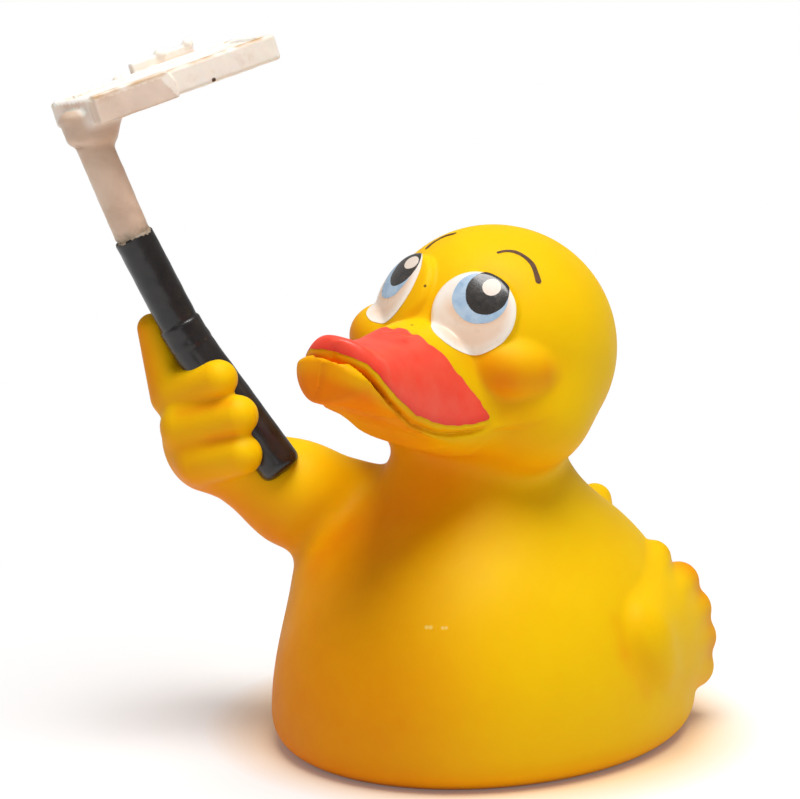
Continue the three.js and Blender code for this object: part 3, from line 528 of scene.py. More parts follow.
def slope(field, points, step=0.08):
    """Which way a field rises, from four readings around each point."""
    out = np.zeros((len(points), 3), np.float32)
    for corner in TETRAHEDRON:
        out += corner * in_chunks(field, (points + corner * step).astype(np.float32))[:, None]
    return out / (4 * step)


def settled(field, points, cell, turns=2):
    """Points moved along the field's slope on to its zero level."""
    for _ in range(turns):
        g = slope(field, points)
        g2 = np.maximum((g * g).sum(1), 0.2)
        move = np.clip(in_chunks(field, points.astype(np.float32)), -cell / 2, cell / 2) / g2
        points = points - move[:, None] * g
    return points


def unit(vectors):
    return vectors / np.maximum(np.linalg.norm(vectors, axis=1), 1e-9)[:, None]


def triangles_of(quads):
    return np.concatenate((quads[:, [0, 1, 2]], quads[:, [0, 2, 3]]))


def make_object(name, points, faces, material, facing=None):
    """A mesh in metres from points in millimetres."""
    mesh = bpy.data.meshes.new(name)
    mesh.from_pydata((np.asarray(points) * MM).tolist(), [], faces.tolist())
    mesh.polygons.foreach_set("use_smooth", [True] * len(faces))
    mesh.update()
    if facing is not None:
        mesh.normals_split_custom_set_from_vertices([Vector(v) for v in facing.tolist()])
    mesh.materials.append(material)
    made = bpy.data.objects.new(name, mesh)
    bpy.context.scene.collection.objects.link(made)
    return made


def paint_attribute(made, name, values):
    layer = made.data.attributes.new(name, "FLOAT", "POINT")
    layer.data.foreach_set("value", values.astype(np.float32))


def cut_out(points, facing, triangles, inside):
    """The part of a surface where `inside` is above zero, cut clean through its triangles."""
    on = inside > 0
    count = on[triangles].sum(1)
    kept = [triangles[count == 3]]
    edges = []
    for wanted in (1, 2):
        some = triangles[count == wanted]
        lone = on[some] if wanted == 1 else ~on[some]
        first = lone.argmax(1)
        turned = np.stack([some[np.arange(len(some)), (first + i) % 3] for i in range(3)], 1)
        edges.append(turned)
    one, two = edges
    pairs = np.concatenate((one[:, [0, 1]], one[:, [0, 2]], two[:, [0, 1]], two[:, [0, 2]]))
    low, high = pairs.min(1), pairs.max(1)
    keys, index = np.unique(low.astype(np.int64) * len(points) + high, return_inverse=True)
    low, high = keys // len(points), keys % len(points)
    t = (inside[low] / (inside[low] - inside[high]))[:, None]
    new_points = points[low] + t * (points[high] - points[low])
    new_facing = unit(facing[low] + t * (facing[high] - facing[low]))
    index = index.ravel() + len(points)
    a, b, c, d = np.split(index, np.cumsum([len(one), len(one), len(two)]))
    kept.append(np.stack((one[:, 0], a, b), 1))
    kept.append(np.stack((c, two[:, 1], two[:, 2]), 1))
    kept.append(np.stack((c, two[:, 2], d), 1))
    faces = np.concatenate(kept)
    used, faces = np.unique(faces, return_inverse=True)
    points = np.concatenate((points, new_points))[used]
    facing = np.concatenate((facing, new_facing))[used]
    return points, facing, faces.reshape(-1, 3)


def film(name, surface, inside, lift, material, sunk=0.12):
    """A closed film of paint over the part of a surface where `inside` is above zero."""
    points, facing, faces = cut_out(*surface, inside)
    edges = np.concatenate((faces[:, [0, 1]], faces[:, [1, 2]], faces[:, [2, 0]]))
    keys = edges[:, 0].astype(np.int64) * len(points) + edges[:, 1]
    back = edges[:, 1].astype(np.int64) * len(points) + edges[:, 0]
    rim = edges[~np.isin(keys, back)]
    n = len(points)
    both = np.concatenate((points + facing * lift, points - facing * sunk))
    one, two = rim[:, 0], rim[:, 1]
    walls = np.concatenate((np.stack((two, one, one + n), 1), np.stack((two, one + n, two + n), 1)))
    shell = np.concatenate((faces, faces[:, ::-1] + n, walls))
    made = make_object(name, both, shell, material, np.concatenate((facing, -facing)))
    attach(made, "root")
    return made, both


def linear(r, g, b):
    """An sRGB colour, 0 to 255, as Blender's linear colour."""
    out = []
    for value in (r, g, b):
        v = value / 255
        out.append(v / 12.92 if v <= 0.04045 else ((v + 0.055) / 1.055) ** 2.4)
    return (*out, 1.0)


class Finish:
    """A procedural material, built node by node."""

    def __init__(self, name, roughness, specular=0.5):
        self.material = bpy.data.materials.new(name)
        self.material.use_nodes = True
        self.tree = self.material.node_tree
        self.shader = self.tree.nodes["Principled BSDF"]
        self.shader.inputs["Roughness"].default_value = roughness
        self.shader.inputs["Specular IOR Level"].default_value = specular
        self.place = self.tree.nodes.new("ShaderNodeTexCoord").outputs["Object"]

    def link(self, source, target):
        self.tree.links.new(source, target)

    def noise(self, millimetres, detail=2.0, roughness=0.5, distortion=0.0):
        node = self.tree.nodes.new("ShaderNodeTexNoise")
        node.inputs["Scale"].default_value = 1000 / millimetres
        node.inputs["Detail"].default_value = detail
        node.inputs["Roughness"].default_value = roughness
        node.inputs["Distortion"].default_value = distortion
        self.link(self.place, node.inputs["Vector"])
        return node.outputs["Fac"]

    def ramp(self, value, low, high, to_low=0.0, to_high=1.0):
        node = self.tree.nodes.new("ShaderNodeMapRange")
        node.inputs["From Min"].default_value = low
        node.inputs["From Max"].default_value = high
        node.inputs["To Min"].default_value = to_low
        node.inputs["To Max"].default_value = to_high
        self.link(value, node.inputs["Value"])
        return node.outputs["Result"]

    def times(self, a, b):
        node = self.tree.nodes.new("ShaderNodeMath")
        node.operation = "MULTIPLY"
        self.feed(a, node.inputs[0])
        self.feed(b, node.inputs[1])
        return node.outputs[0]

    def attribute(self, name):
        node = self.tree.nodes.new("ShaderNodeAttribute")
        node.attribute_name = name
        return node.outputs["Fac"]

    def feed(self, source, target):
        if isinstance(source, bpy.types.NodeSocket):
            self.link(source, target)
        else:
            target.default_value = source

    def mix(self, factor, a, b):
        node = self.tree.nodes.new("ShaderNodeMix")
        node.data_type = "RGBA"
        self.feed(factor, node.inputs[0])
        self.feed(a, node.inputs[6])
        self.feed(b, node.inputs[7])
        return node.outputs[2]

    def near_to(self, place, radius):
        """One inside a small ball, nought outside."""
        node = self.tree.nodes.new("ShaderNodeVectorMath")
        node.operation = "DISTANCE"
        self.link(self.place, node.inputs[0])
        node.inputs[1].default_value = [v * MM for v in place]
        return self.ramp(node.outputs["Value"], radius * MM * 0.8, radius * MM * 1.2, 1.0, 0.0)

    def colour(self, source):
        self.feed(source, self.shader.inputs["Base Color"])

    def rough(self, source):
        self.link(source, self.shader.inputs["Roughness"])

    def bump(self, height, strength, millimetres):
        node = self.tree.nodes.new("ShaderNodeBump")
        node.inputs["Strength"].default_value = strength
        node.inputs["Distance"].default_value = millimetres * MM
        self.link(height, node.inputs["Height"])
        previous = self.shader.inputs["Normal"]
        if previous.is_linked:
            self.link(previous.links[0].from_socket, node.inputs["Normal"])
        self.link(node.outputs["Normal"], previous)

    def soft(self, weight, millimetres, colour=(1.0, 0.5, 0.2)):
        self.shader.inputs["Subsurface Weight"].default_value = weight
        self.shader.inputs["Subsurface Radius"].default_value = colour
        self.shader.inputs["Subsurface Scale"].default_value = millimetres * MM

    def gloss(self, weight, roughness):
        self.shader.inputs["Coat Weight"].default_value = weight
        self.shader.inputs["Coat Roughness"].default_value = roughness


def latex_finish():
    f = Finish("duck_latex", 0.5, 0.1)
    mottle = f.ramp(f.noise(14, 3), 0.3, 0.7)
    base = f.mix(mottle, linear(243, 192, 0), linear(246, 199, 3))
    warm = f.mix(f.ramp(f.noise(3.5, 3), 0.25, 0.75), linear(232, 112, 0), linear(236, 124, 2))
    # Painted shade: a darker yellow low on the body.
    base = f.mix(f.attribute("painted_low_shade"), base, linear(218, 160, 0))
    # Orange, airbrushed in places, and painted shade on the shaded side, low down and in the folds.
    base = f.mix(f.attribute("airbrush_and_shade"), base, warm)
    for place, radius in DARK_SPECKS:
        base = f.mix(f.near_to(place, radius), base, linear(120, 84, 20))
    for place, radius in PALE_SCUFFS:
        base = f.mix(f.times(f.near_to(place, radius), 0.6), base, linear(244, 216, 120))
    f.colour(base)
    f.rough(f.ramp(f.noise(5, 4), 0.2, 0.8, 0.44, 0.58))
    f.bump(f.noise(0.5, 4, 0.6), 0.12, 0.08)
    f.bump(f.noise(6, 2), 0.25, 0.25)
    f.soft(0.22, 2.4)
    return f.material


def bare_latex_finish():
    f = Finish("bare_latex", 0.45, 0.5)
    mottle = f.ramp(f.noise(5.5, 3, 0.55, 0.5), 0.3, 0.72)
    base = f.mix(mottle, linear(208, 178, 154), linear(228, 202, 180))
    # Whiter where the cast is heavy, with painted light on the slab's top and painted shade by the cup.
    base = f.mix(f.attribute("thick_and_painted_light"), base, linear(253, 245, 235))
    base = f.mix(f.attribute("smear"), base, linear(96, 88, 62))
    stain = f.times(f.ramp(f.noise(2.4, 3, 0.6), 0.55, 0.75), 0.2)
    base = f.mix(stain, base, linear(196, 140, 96))
    base = f.mix(f.attribute("flash"), base, linear(190, 142, 80))
    for place, radius in SLAB_SPECKS:
        base = f.mix(f.near_to(place, radius), base, linear(84, 60, 44))
    f.colour(base)
    f.rough(f.ramp(f.noise(3, 3), 0.2, 0.8, 0.34, 0.55))
    f.bump(f.noise(1.4, 4, 0.6), 0.25, 0.12)
    f.soft(0.4, 2.2, (1.0, 0.7, 0.5))
    return f.material


def paint_finish(name, low, high, roughness, grain, coat=0.0, bump=0.2):
    """Hand-brushed paint: a colour that varies a little along the brush, over a faint orange-peel."""
    f = Finish(name, roughness, 0.5)
    f.colour(f.mix(f.ramp(f.noise(grain, 3, 0.55, 0.4), 0.3, 0.7), linear(*low), linear(*high)))
    f.rough(f.ramp(f.noise(grain * 0.7, 2), 0.2, 0.8, roughness * 0.8, min(roughness * 1.25, 1)))
    f.bump(f.noise(grain * 0.5, 3), bump, 0.06)
    if coat:
        f.gloss(coat, 0.12)
    return f


def red_finish():
    f = paint_finish("red_bill_paint", (254, 70, 48), (255, 88, 64), 0.42, 3.0, 0.12)
    base = f.shader.inputs["Base Color"].links[0].from_socket
    # Painted shade along the bill's lower edge and in the nostril.
    f.colour(f.mix(f.attribute("edge"), base, linear(226, 38, 20)))
    f.shader.inputs["Specular IOR Level"].default_value = 0.3
    f.soft(0.1, 1.0)
    return f.material


def eye_white_finish():
    f = paint_finish("eye_white_paint", (244, 234, 222), (250, 244, 236), 0.3, 2.2, 0.35)
    base = f.shader.inputs["Base Color"].links[0].from_socket
    # Tan low on the eye and beside the iris.
    base = f.mix(f.attribute("thin"), base, linear(232, 196, 164))
    f.colour(f.mix(f.attribute("rim"), base, linear(252, 242, 228)))
    return f.material


def black_finish():
    f = paint_finish("black_stick_paint", (18, 14, 13), (34, 28, 26), 0.32, 2.4, 0.25, 0.3)
    f.bump(f.noise(2.2, 3, 0.6), 0.25, 0.2)
    return f.material


def squeaker_finish():
    f = Finish("squeaker_plastic", 0.4, 0.5)
    f.colour(f.mix(f.ramp(f.noise(3, 3), 0.3, 0.7), linear(228, 220, 202), linear(240, 234, 220)))
    f.rough(f.ramp(f.noise(1.5, 3), 0.2, 0.8, 0.34, 0.5))
    f.bump(f.noise(0.4, 3), 0.1, 0.05)
    return f.material


# Where the photograph shows small marks, in millimetres.
DARK_SPECKS = (((-0.63, -14.28, 69.07), 0.22), ((1.98, -20.86, 64.84), 0.24), ((4.03, -29.64, 63.88), 0.14))
PALE_SCUFFS = (
    ((9.5, -27.4, 23.3), 0.3),
    ((10.0, -27.1, 23.3), 0.3),
    ((11.5, -26.3, 23.3), 0.26),
    ((11.9, -26.0, 23.3), 0.26),
)
SLAB_SPECKS = (((-33.73, -20.94, 96.45), 0.34),)


def capsule_distance(points, a, b):
    a = np.asarray(a, np.float32)
    axis = np.asarray(b, np.float32) - a
    t = np.clip((points - a) @ axis / (axis @ axis), 0, 1)
    return length(points - a - t[:, None] * axis)


def puff(distance, size):
    return np.exp(-((distance / size) ** 2))


# Orange airbrushing, with painted shade in the folds, under the chin and low on the body: a line or a spot,
# how far it spreads, and how strong it is.
HEAD_AIRBRUSH_AND_SHADE = (
    ((13.0, 14.0, -1.4), (16.0, 10.8, -0.3), 2.7, 0.55),
    ((12.6, 14.4, -5.6), (15.5, 12.5, -6.6), 2.4, 0.12),
    ((-13.0, 14.0, -1.4), (-16.0, 10.8, -0.3), 2.7, 0.55),
    ((-12.6, 14.4, -5.6), (-15.5, 12.5, -6.6), 2.4, 0.12),
    ((8.0, 18.0, 1.5), (12.0, 15.5, -2.0), 2.6, 0.45),
    ((0, 42, -6.5), (0, 30, -10.5), 5.5, 0.75),
    ((0, 29, -11.5), (0, 18, -15.5), 7.5, 0.35),
    ((5.5, 40, -6.5), (7.5, 28, -11.0), 1.8, 0.45),
    ((-5.5, 40, -6.5), (-7.5, 28, -11.0), 2.6, 0.6),
    ((5.5, 14.0, 12.5), (9.4, 12.6, 11.0), 1.8, 0.2),
)
BODY_AIRBRUSH_AND_SHADE = (
    # Painted shade in the wing's crease and between the fingers.
    ((25.6, -3.5, 21.7), (27.4, -3.8, 17.0), 1.3, 0.15),
    ((27.4, -3.8, 17.0), (29.0, -0.4, 10.8), 1.6, 0.2),
    ((-33, -29.8, 48.7), (-25.2, -28.8, 51.6), 1.1, 0.5),
    ((-32.4, -29.8, 43.8), (-24.6, -28.8, 46.3), 1.1, 0.5),
    # Orange on the thumb, the forearm and the wing tips.
    ((-39.0, -28.5, 51), (-41, -28.5, 60), 2.0, 0.5),
    ((-34, -28.5, 38), (-24, -21, 31), 4.5, 0.5),
    ((20.5, 22.5, 22.0), (22.5, 23.5, 12), 3.8, 0.85),
    # Painted shade in the arm's fold, under the chin and low on the belly.
    ((-9.5, -19, 38), (-14, -22, 27), 2.6, 0.35),
    ((2, -13, 41), (-8, -18, 33), 9.0, 0.45),
    ((-4, -26, 28), (-12, -24, 16), 12.0, 0.3),
    ((4, -30, 12), (-14, -26, 4), 13.0, 0.4),
)
LIGHT_SIDE = np.array((0.62, 0.30, 0.72), np.float32)


def airbrush_and_shade(points, q, facing):
    """How much orange lies on the yellow: airbrushed on the cheeks, bill and wing tips, and painted shade
    on the side turned from the light, low on the body, in the folds and in the mouth's parting.
    """
    # Painted shade: more orange on the side turned away from the light.
    clear = 1 - 0.55 * np.clip(0.42 - 0.75 * (facing @ LIGHT_SIDE), 0, 1)
    for where, spots in ((q, HEAD_AIRBRUSH_AND_SHADE), (points, BODY_AIRBRUSH_AND_SHADE)):
        for a, b, size, strength in spots:
            clear *= 1 - strength * puff(capsule_distance(where, a, b), size)
    on_bill = np.clip((q[:, 1] - 20) / 8, 0, 1) * (np.abs(q[:, 0]) < 12)
    depth = lip_height(q[:, 0], q[:, 1]) - 2.3 - q[:, 2]
    clear *= 1 - 0.85 * on_bill * np.clip(depth / 1.5, 0, 1) * (depth < 8)
    # Painted shade in the parting between the lips.
    in_bill = (q[:, 1] > 9) & (q[:, 1] < BILL_REACH + 4) & (np.abs(q[:, 0]) < 14) & (np.abs(q[:, 2]) < 16)
    parting = np.full(len(q), 9.0, np.float32)
    parting[in_bill] = mouth_groove(q[in_bill], bill(q[in_bill])[0])
    clear *= 1 - np.clip(0.45 - parting / 0.35, 0, 1)
    return 1 - clear


def eye_plane(q, side):
    """Across and up on an eye's dome, from the middle of it."""
    q = q - SKULL
    axis = direction(*EYE_PLACES[side])
    across = np.cross(axis, (0, 0, 1))
    across /= np.linalg.norm(across)
    up = np.cross(across, axis)
    return np.where(q @ axis > 0, q @ across, 99), q @ up


def oval(x, y, centre, radii, lean=0.0):
    """How far inside an oval each point is, in millimetres."""
    c, s = math.cos(math.radians(lean)), math.sin(math.radians(lean))
    dx, dy = x - centre[0], y - centre[1]
    u, v = (dx * c + dy * s) / radii[0], (dy * c - dx * s) / radii[1]
    return (1 - np.sqrt(u * u + v * v)) * min(radii)


def softened(steps, values):
    """Values along a line, with its corners rounded."""
    where = np.arange(len(values))
    return sum(np.interp(steps + shift, where, values) for shift in (-0.6, -0.3, 0, 0.3, 0.6)) / 5


def on_polyline(points, places):
    """Distance to a line through places, and how far along it, from 0 to 1."""
    best = np.full(len(points), 99.0)
    along = np.zeros(len(points))
    for i in range(len(places) - 1):
        a, b = np.asarray(places[i]), np.asarray(places[i + 1])
        axis = b - a
        t = np.clip((points - a) @ axis / (axis @ axis), 0, 1)
        off = np.linalg.norm(points - a - t[:, None] * axis, axis=1)
        nearer = off < best
        best = np.where(nearer, off, best)
        along = np.where(nearer, (i + t) / (len(places) - 1), along)
    return best, along


# Each eye: its side, and the places and radii of its ovals across and up.
EYES = (
    {
        "side": 1, "name": "left",
        "white": ((-0.1, -0.1), (6.1, 6.15)), "iris": ((0.45, 2.05), (4.0, 3.85)),
        "pupil": ((1.25, 3.05), (3.05, 3.35)), "shine": ((1.65, 3.95), (1.3, 1.3)),
    },
    {
        "side": -1, "name": "right",
        "white": ((-1.2, 0.2), (5.0, 6.0)), "iris": ((-1.6, 1.7), (3.5, 3.7)),
        "pupil": ((-0.9, 3.1), (2.9, 3.0)), "shine": ((-0.1, 4.2), (1.6, 1.1)),
    },
)
BROWS = {
    "left": (
        (17.5, 51.8), (21.3, 54.0), (26.5, 55.3), (33, 55),
        (38.7, 53.2), (43.1, 50.2), (45.7, 47), (47.9, 38),
    ),
    "right": ((-43.2, 43.5), (-45.8, 46.5), (-46.9, 49.5), (-47.5, 52.8), (-45.6, 55.7), (-40.6, 58)),
}
# How far back the red reaches, at distances from the bill's middle line.
RED_BACK = ((0, 24.3), (2.5, 24.6), (4.5, 24.4), (7.35, 20.8), (10.1, 16.2), (11.4, 14.0))
DIMPLE = (2.6, 27.6, 0.9)
# How far each coat of paint stands off the skin.
LIFT = {"black": 0.05, "red": 0.07, "white": 0.06, "iris": 0.09, "pupil": 0.12, "shine": 0.15, "brow": 0.06}
CELL = 0.38
FACE_CELL = 0.24
MOST_TRIANGLES = 190000
# Boxes that hold each surface, by their lowest and highest corners.
SKIN_BOX = ((-46, -49, -1.8), (33, 37, 80))
STICK_BOX = ((-58, -43, 34), (-12, -2, 106))
FACE_BOX = ((-17, -46, 44), (18, -3, 76.5))


def build_skin():
    latex = latex_finish()
    points, quads = surface_net(skin, *SKIN_BOX, CELL)
    points, faces = thinned(points, quads, min(1, MOST_TRIANGLES / (2 * len(quads))))
    points = settled(skin, points, CELL, 1)
    points[:, 2] = np.maximum(points[:, 2], 0)
    facing = unit(slope(skin, points))
    duck_skin = make_object("duck_skin", points, faces, latex, facing)
    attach(duck_skin, "root")
    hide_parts("duck")
    # Painted shade: the yellow is darker low on the body, more so away from the duck's left side.
    across = np.clip((22 - points[:, 0]) / 14, 0.15, 1)
    painted_low_shade = 0.65 * across * np.clip((34 - points[:, 2]) / 24, 0, 1)
    paint_attribute(duck_skin, "painted_low_shade", painted_low_shade)
    single = points.astype(np.float32)
    paint_attribute(duck_skin, "airbrush_and_shade", airbrush_and_shade(single, head_coordinates(single), facing))


def build_stick():
    points, quads = surface_net(stick, *STICK_BOX, CELL * 0.7)
    facing = unit(slope(stick, points))
    stick_cast = make_object("stick_cast", points, quads, bare_latex_finish(), facing)
    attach(stick_cast, "root")
    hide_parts("duck")
    colour_slab(stick_cast, points, facing)
    paint_stick(stick_cast, points, facing, quads)


def colour_slab(stick_cast, points, facing):
    """The slab's cast is heavy and whiter, its upper face painted whiter still as if lit, with painted
    shade by the cup and less white by the clamp's jaw; its far edge keeps a thin brown casting line.
    """
    on_slab = slab_coordinates(points.astype(np.float32))
    body_share = np.clip(1.5 - slab_local(on_slab) / 0.8, 0, 1)
    jaw_side = (on_slab[:, 1] < -6.9) & (on_slab[:, 0] < -3.5 - 0.6 * on_slab[:, 2]) & (on_slab[:, 2] < 1.4)
    rise = facing @ SLAB_UP
    by_cup = puff(capsule_distance(points, CUP_TOP, CUP_TOP + 3 * SLAB_ACROSS), 5.5)
    # Painted shade under the slab by the cup.
    painted_shade_by_cup = 0.85 * by_cup * (rise < 0.3)
    # Painted light: the slab's upward faces are whiter.
    whiter = 0.85 + 0.15 * (rise > 0.3) - 0.5 * jaw_side
    paint_attribute(stick_cast, "thick_and_painted_light", body_share * (1 - painted_shade_by_cup) * whiter)
    flash = puff(np.abs(on_slab[:, 2] - 1.9), 0.35) * (np.abs(on_slab[:, 1]) > 6.2) * (on_slab[:, 2] > 0)
    worn = np.clip(0.6 + 0.6 * ripple(points, 3.0), 0, 1)
    paint_attribute(stick_cast, "flash", 0.9 * flash * worn)


def paint_stick(stick_cast, points, facing, quads):
    """Black paint on the lower stick, up to a ragged line with a smear past it."""
    tube_axis = unit((COLLAR - BEND)[None])[0]
    height = (points - COLLAR) @ tube_axis
    ragged = 0.35 * ripple(points, 2.2) + 0.25 * ripple(points, 0.9)
    smear = puff(np.maximum(height + 0.2 - ragged, 0), 1.1) * (0.75 + 0.25 * ripple(points, 0.7))
    paint_attribute(stick_cast, "smear", 0.8 * smear * (height < 5))
    surface = (points, facing, triangles_of(quads))
    black, _ = film("black_stick_paint", surface, ragged - height - 0.2, LIFT["black"], black_finish())


def paint_face():
    """The face's paint lies on a finer net of its own."""
    points, quads = surface_net(head, *FACE_BOX, FACE_CELL)
    surface = (points, unit(slope(head, points)), triangles_of(quads))
    local = head_coordinates(points.astype(np.float32))
    uneven = 0.1 * ripple(points, 2.4)
    paint_bill(surface, local, uneven)
    paints = eye_paints()
    brow_paint = paint_finish("brow_paint", (70, 38, 10), (104, 60, 18), 0.65, 1.0).material
    for eye in EYES:
        paint_eye(eye, surface, local, uneven, paints)
        paint_brow(eye, surface, local, uneven, brow_paint)


def paint_bill(surface, local, uneven):
    """Red on the upper bill, with painted shade along its down-turned lower edge and in the one nostril
    that shows.
    """
    l, f, u = local.T.astype(np.float64)
    back = np.interp(np.abs(l), *zip(*RED_BACK))
    inside = np.minimum(f - back, u - lip_height(l, f) - 0.5)
    inside = np.minimum(inside, np.minimum(0.6 - bill(local)[0], 11.0 - np.abs(l))) + uneven
    red, where = film("red_bill_paint", surface, inside, LIFT["red"], red_finish())
    q = head_coordinates(where.astype(np.float32))
    # Painted shade along the red's lower edge and in the nostril's dent.
    above = q[:, 2] - lip_height(q[:, 0], q[:, 1])
    nostril_shade = puff(length(q - np.array(DIMPLE, np.float32)), 0.55)
    paint_attribute(red, "edge", np.maximum(0.65 * np.clip(1 - (above - 0.4) / 1.4, 0, 1), 0.8 * nostril_shade))


def eye_paints():
    """The paint of each layer of an eye, from the lowest up."""
    white = eye_white_finish()
    blue = paint_finish("iris_paint", (150, 180, 208), (184, 206, 224), 0.3, 1.6, 0.3)
    black = paint_finish("pupil_paint", (28, 24, 22), (56, 50, 44), 0.25, 1.2, 0.7, 0.4)
    shine = paint_finish("shine_paint", (230, 214, 198), (238, 224, 210), 0.35, 1.2, 0.1)
    return {"white": white, "iris": blue.material, "pupil": black.material, "shine": shine.material}


def paint_eye(eye, surface, local, uneven, paints):
    x, y = eye_plane(local, eye["side"])
    inner = {}
    for layer in paints:
        inner[layer] = oval(x, y, *eye[layer]) + (0.3 if layer == "white" else 0.5) * uneven
    inner["iris"] = np.minimum(inner["iris"], inner["white"] - 0.35)
    inner["pupil"] = np.minimum(inner["pupil"], inner["white"] + 0.1)
    for layer, paint in paints.items():
        made, where = film(f"eye_{layer}_{eye['name']}", surface, inner[layer], LIFT[layer], paint)
        if layer == "white":
            shade_white(made, where, eye)


def shade_white(made, where, eye):
    """The white is paler at its rim, and tan low on the eye and beside the iris."""
    x, y = eye_plane(head_coordinates(where.astype(np.float32)), eye["side"])
    depth = oval(x, y, *eye["white"])
    paint_attribute(made, "rim", np.clip(1 - depth / 0.7, 0, 1))
    low = np.clip(0.45 - (y - 0.5 - 0.35 * x) / 7, 0, 1)
    beside = -oval(x, y, *eye["iris"])
    shade = np.maximum(0.8 * low, 0.9 * puff(np.maximum(beside, 0), 1.6) * np.clip(2.5 * low, 0, 1))
    paint_attribute(made, "thin", shade * np.clip(depth / 1.5, 0, 1))


def paint_brow(eye, surface, local, uneven, paint):
    turns = np.array(BROWS[eye["name"]])
    steps = np.linspace(0, len(turns) - 1, 25)
    bends = np.stack([softened(steps, turns[:, i]) for i in (0, 1)], 1)
    places = [direction(*bend) * HEAD_RADIUS for bend in bends]
    off, along = on_polyline(unit(local - SKULL).astype(np.float64) * HEAD_RADIUS, places)
    width = 0.21 + 0.21 * along + (0.12 if eye["side"] < 0 else 0)
    made, _ = film(f"brow_{eye['name']}", surface, width - off + 0.4 * uneven, LIFT["brow"], paint)


def finish_squeaker():
    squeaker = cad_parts["squeaker"]
    squeaker.data.materials.clear()
    squeaker.data.materials.append(squeaker_finish())


def metres(place):
    return Vector([v * MM for v in place])


def add_camera():
    camera = bpy.data.objects.new("camera", bpy.data.cameras.new("camera"))
    bpy.context.scene.collection.objects.link(camera)
    camera.data.lens = LENS
    camera.data.sensor_width = 36
    camera.data.sensor_fit = "HORIZONTAL"
    camera.data.clip_start = 0.05
    camera.data.clip_end = 20
    camera.location = metres(CAMERA_PLACE)
    camera.rotation_euler = Vector(CAMERA_BACK).to_track_quat("Z", "Y").to_euler()
    bpy.context.scene.camera = camera


def add_floor():
    bpy.ops.mesh.primitive_plane_add(size=TABLE_SIZE, location=(0, 0, 0))
    floor = bpy.context.object
    floor.name = "floor"
    material = bpy.data.materials.new("floor")
    material.use_nodes = True
    tree = material.node_tree
    shader = tree.nodes["Principled BSDF"]
    shader.inputs["Roughness"].default_value = 0.9
    shader.inputs["Specular IOR Level"].default_value = 0.1
    # Near the duck the floor takes its shadow; further off it turns into an even white.
    place = tree.nodes.new("ShaderNodeTexCoord")
    away = tree.nodes.new("ShaderNodeVectorMath")
    away.operation = "LENGTH"
    tree.links.new(place.outputs["Object"], away.inputs[0])
    # Painted shadow and orange bounce light: the table close by the duck is coloured darker and warm.
    bounce_fade = tree.nodes.new("ShaderNodeMapRange")
    bounce_fade.inputs["From Min"].default_value = BOUNCE_FROM
    bounce_fade.inputs["From Max"].default_value = BOUNCE_BY
    tree.links.new(away.outputs["Value"], bounce_fade.inputs["Value"])
    bounce_colour = tree.nodes.new("ShaderNodeMix")
    bounce_colour.data_type = "RGBA"
    bounce_colour.inputs[6].default_value = TABLE_SHADOW_AND_BOUNCE
    bounce_colour.inputs[7].default_value = TABLE_COLOUR
    tree.links.new(bounce_fade.outputs["Result"], bounce_colour.inputs[0])
    tree.links.new(bounce_colour.outputs[2], shader.inputs["Base Color"])
    fade = tree.nodes.new("ShaderNodeMapRange")
    fade.interpolation_type = "SMOOTHSTEP"
    fade.inputs["From Min"].default_value = WHITE_FROM
    fade.inputs["From Max"].default_value = WHITE_BY
    tree.links.new(away.outputs["Value"], fade.inputs["Value"])
    glow = tree.nodes.new("ShaderNodeEmission")
    glow.inputs["Color"].default_value = (1, 1, 1, 1)
    path = tree.nodes.new("ShaderNodeLightPath")
    seen = tree.nodes.new("ShaderNodeMath")
    seen.operation = "MAXIMUM"
    tree.links.new(path.outputs["Is Camera Ray"], seen.inputs[0])
    tree.links.new(path.outputs["Is Glossy Ray"], seen.inputs[1])
    scale = tree.nodes.new("ShaderNodeMath")
    scale.operation = "MULTIPLY"
    tree.links.new(fade.outputs["Result"], scale.inputs[0])
    tree.links.new(seen.outputs[0], scale.inputs[1])
    near = tree.nodes.new("ShaderNodeAddShader")
    tree.links.new(shader.outputs[0], near.inputs[0])
    faint = tree.nodes.new("ShaderNodeEmission")
    lift = tree.nodes.new("ShaderNodeMath")
    lift.operation = "MULTIPLY"
    lift.inputs[1].default_value = FLOOR_GLOW
    tree.links.new(seen.outputs[0], lift.inputs[0])
    tree.links.new(lift.outputs[0], faint.inputs["Strength"])
    tree.links.new(faint.outputs[0], near.inputs[1])
    both = tree.nodes.new("ShaderNodeMixShader")
    tree.links.new(scale.outputs[0], both.inputs[0])
    tree.links.new(near.outputs[0], both.inputs[1])
    tree.links.new(glow.outputs[0], both.inputs[2])
    tree.links.new(both.outputs[0], tree.nodes["Material Output"].inputs["Surface"])
    floor.data.materials.append(material)


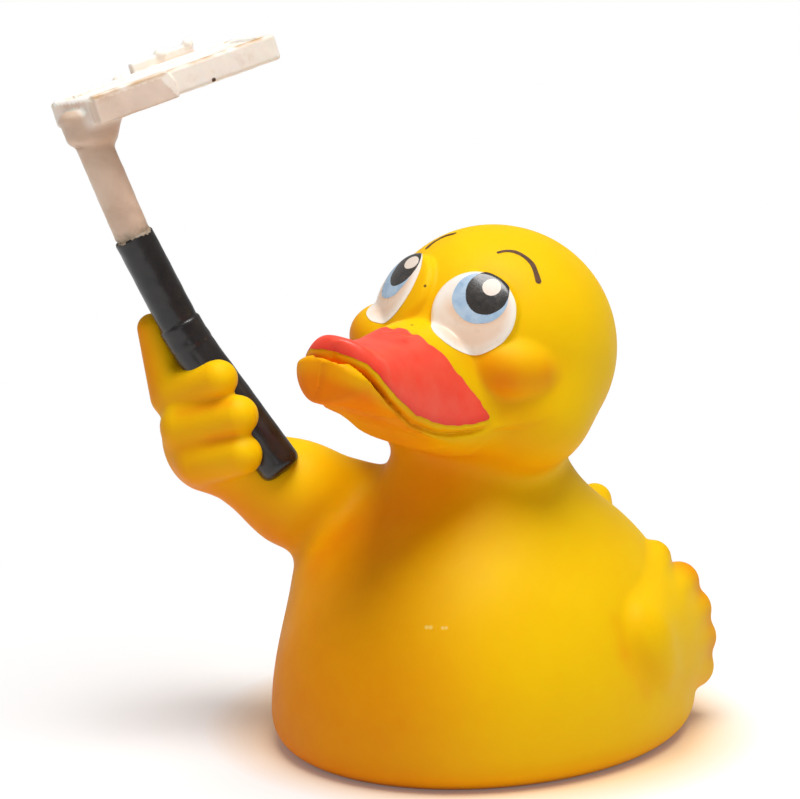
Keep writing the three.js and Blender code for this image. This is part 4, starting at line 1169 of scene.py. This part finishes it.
def add_world():
    world = bpy.data.worlds.new("studio")
    bpy.context.scene.world = world
    world.use_nodes = True
    tree = world.node_tree
    back = tree.nodes["Background"]
    back.inputs["Color"].default_value = (1, 1, 1, 1)
    path = tree.nodes.new("ShaderNodeLightPath")
    seen = tree.nodes.new("ShaderNodeMath")
    seen.operation = "MAXIMUM"
    tree.links.new(path.outputs["Is Camera Ray"], seen.inputs[0])
    tree.links.new(path.outputs["Is Transmission Ray"], seen.inputs[1])
    strength = tree.nodes.new("ShaderNodeMapRange")
    strength.inputs["To Min"].default_value = WORLD_LIGHT
    strength.inputs["To Max"].default_value = 1.0
    tree.links.new(seen.outputs[0], strength.inputs["Value"])
    tree.links.new(strength.outputs["Result"], back.inputs["Strength"])


def add_light(name, place, size, power, colour=(1, 1, 1)):
    data = bpy.data.lights.new(name, "AREA")
    data.shape = "DISK"
    data.size = size
    data.energy = power
    data.color = colour
    light = bpy.data.objects.new(name, data)
    bpy.context.scene.collection.objects.link(light)
    light.location = place
    aim = Vector(place) - Vector(LIGHTS_AIM)
    light.rotation_euler = aim.to_track_quat("Z", "Y").to_euler()


TABLE_SIZE = 8
TABLE_COLOUR = (0.86, 0.855, 0.85, 1)
# Painted shadow and orange bounce light on the table close to the duck.
TABLE_SHADOW_AND_BOUNCE = (0.8, 0.56, 0.3, 1)
# Distances from the duck's middle, in metres, for the painted shadow and bounce light on the table and for
# the white beyond.
BOUNCE_FROM = 0.031
BOUNCE_BY = 0.042
WHITE_FROM = 0.045
WHITE_BY = 0.12
WORLD_LIGHT = 0.3
FLOOR_GLOW = 0.1
LIGHTS_AIM = (0, 0, 0.045)
# Each light: its name, place, width in metres and power in watts.
KEY_LIGHT = ("key", (0.12, -0.06, 1.0), 0.7, 10.2)
FILL_LIGHT = ("fill", (0.5, -0.9, 0.35), 0.4, 0.35)

build_skin()
build_stick()
paint_face()
finish_squeaker()
add_camera()
add_floor()
add_world()
add_light(*KEY_LIGHT)
add_light(*FILL_LIGHT)

scene = bpy.context.scene
scene.view_settings.view_transform = "Standard"
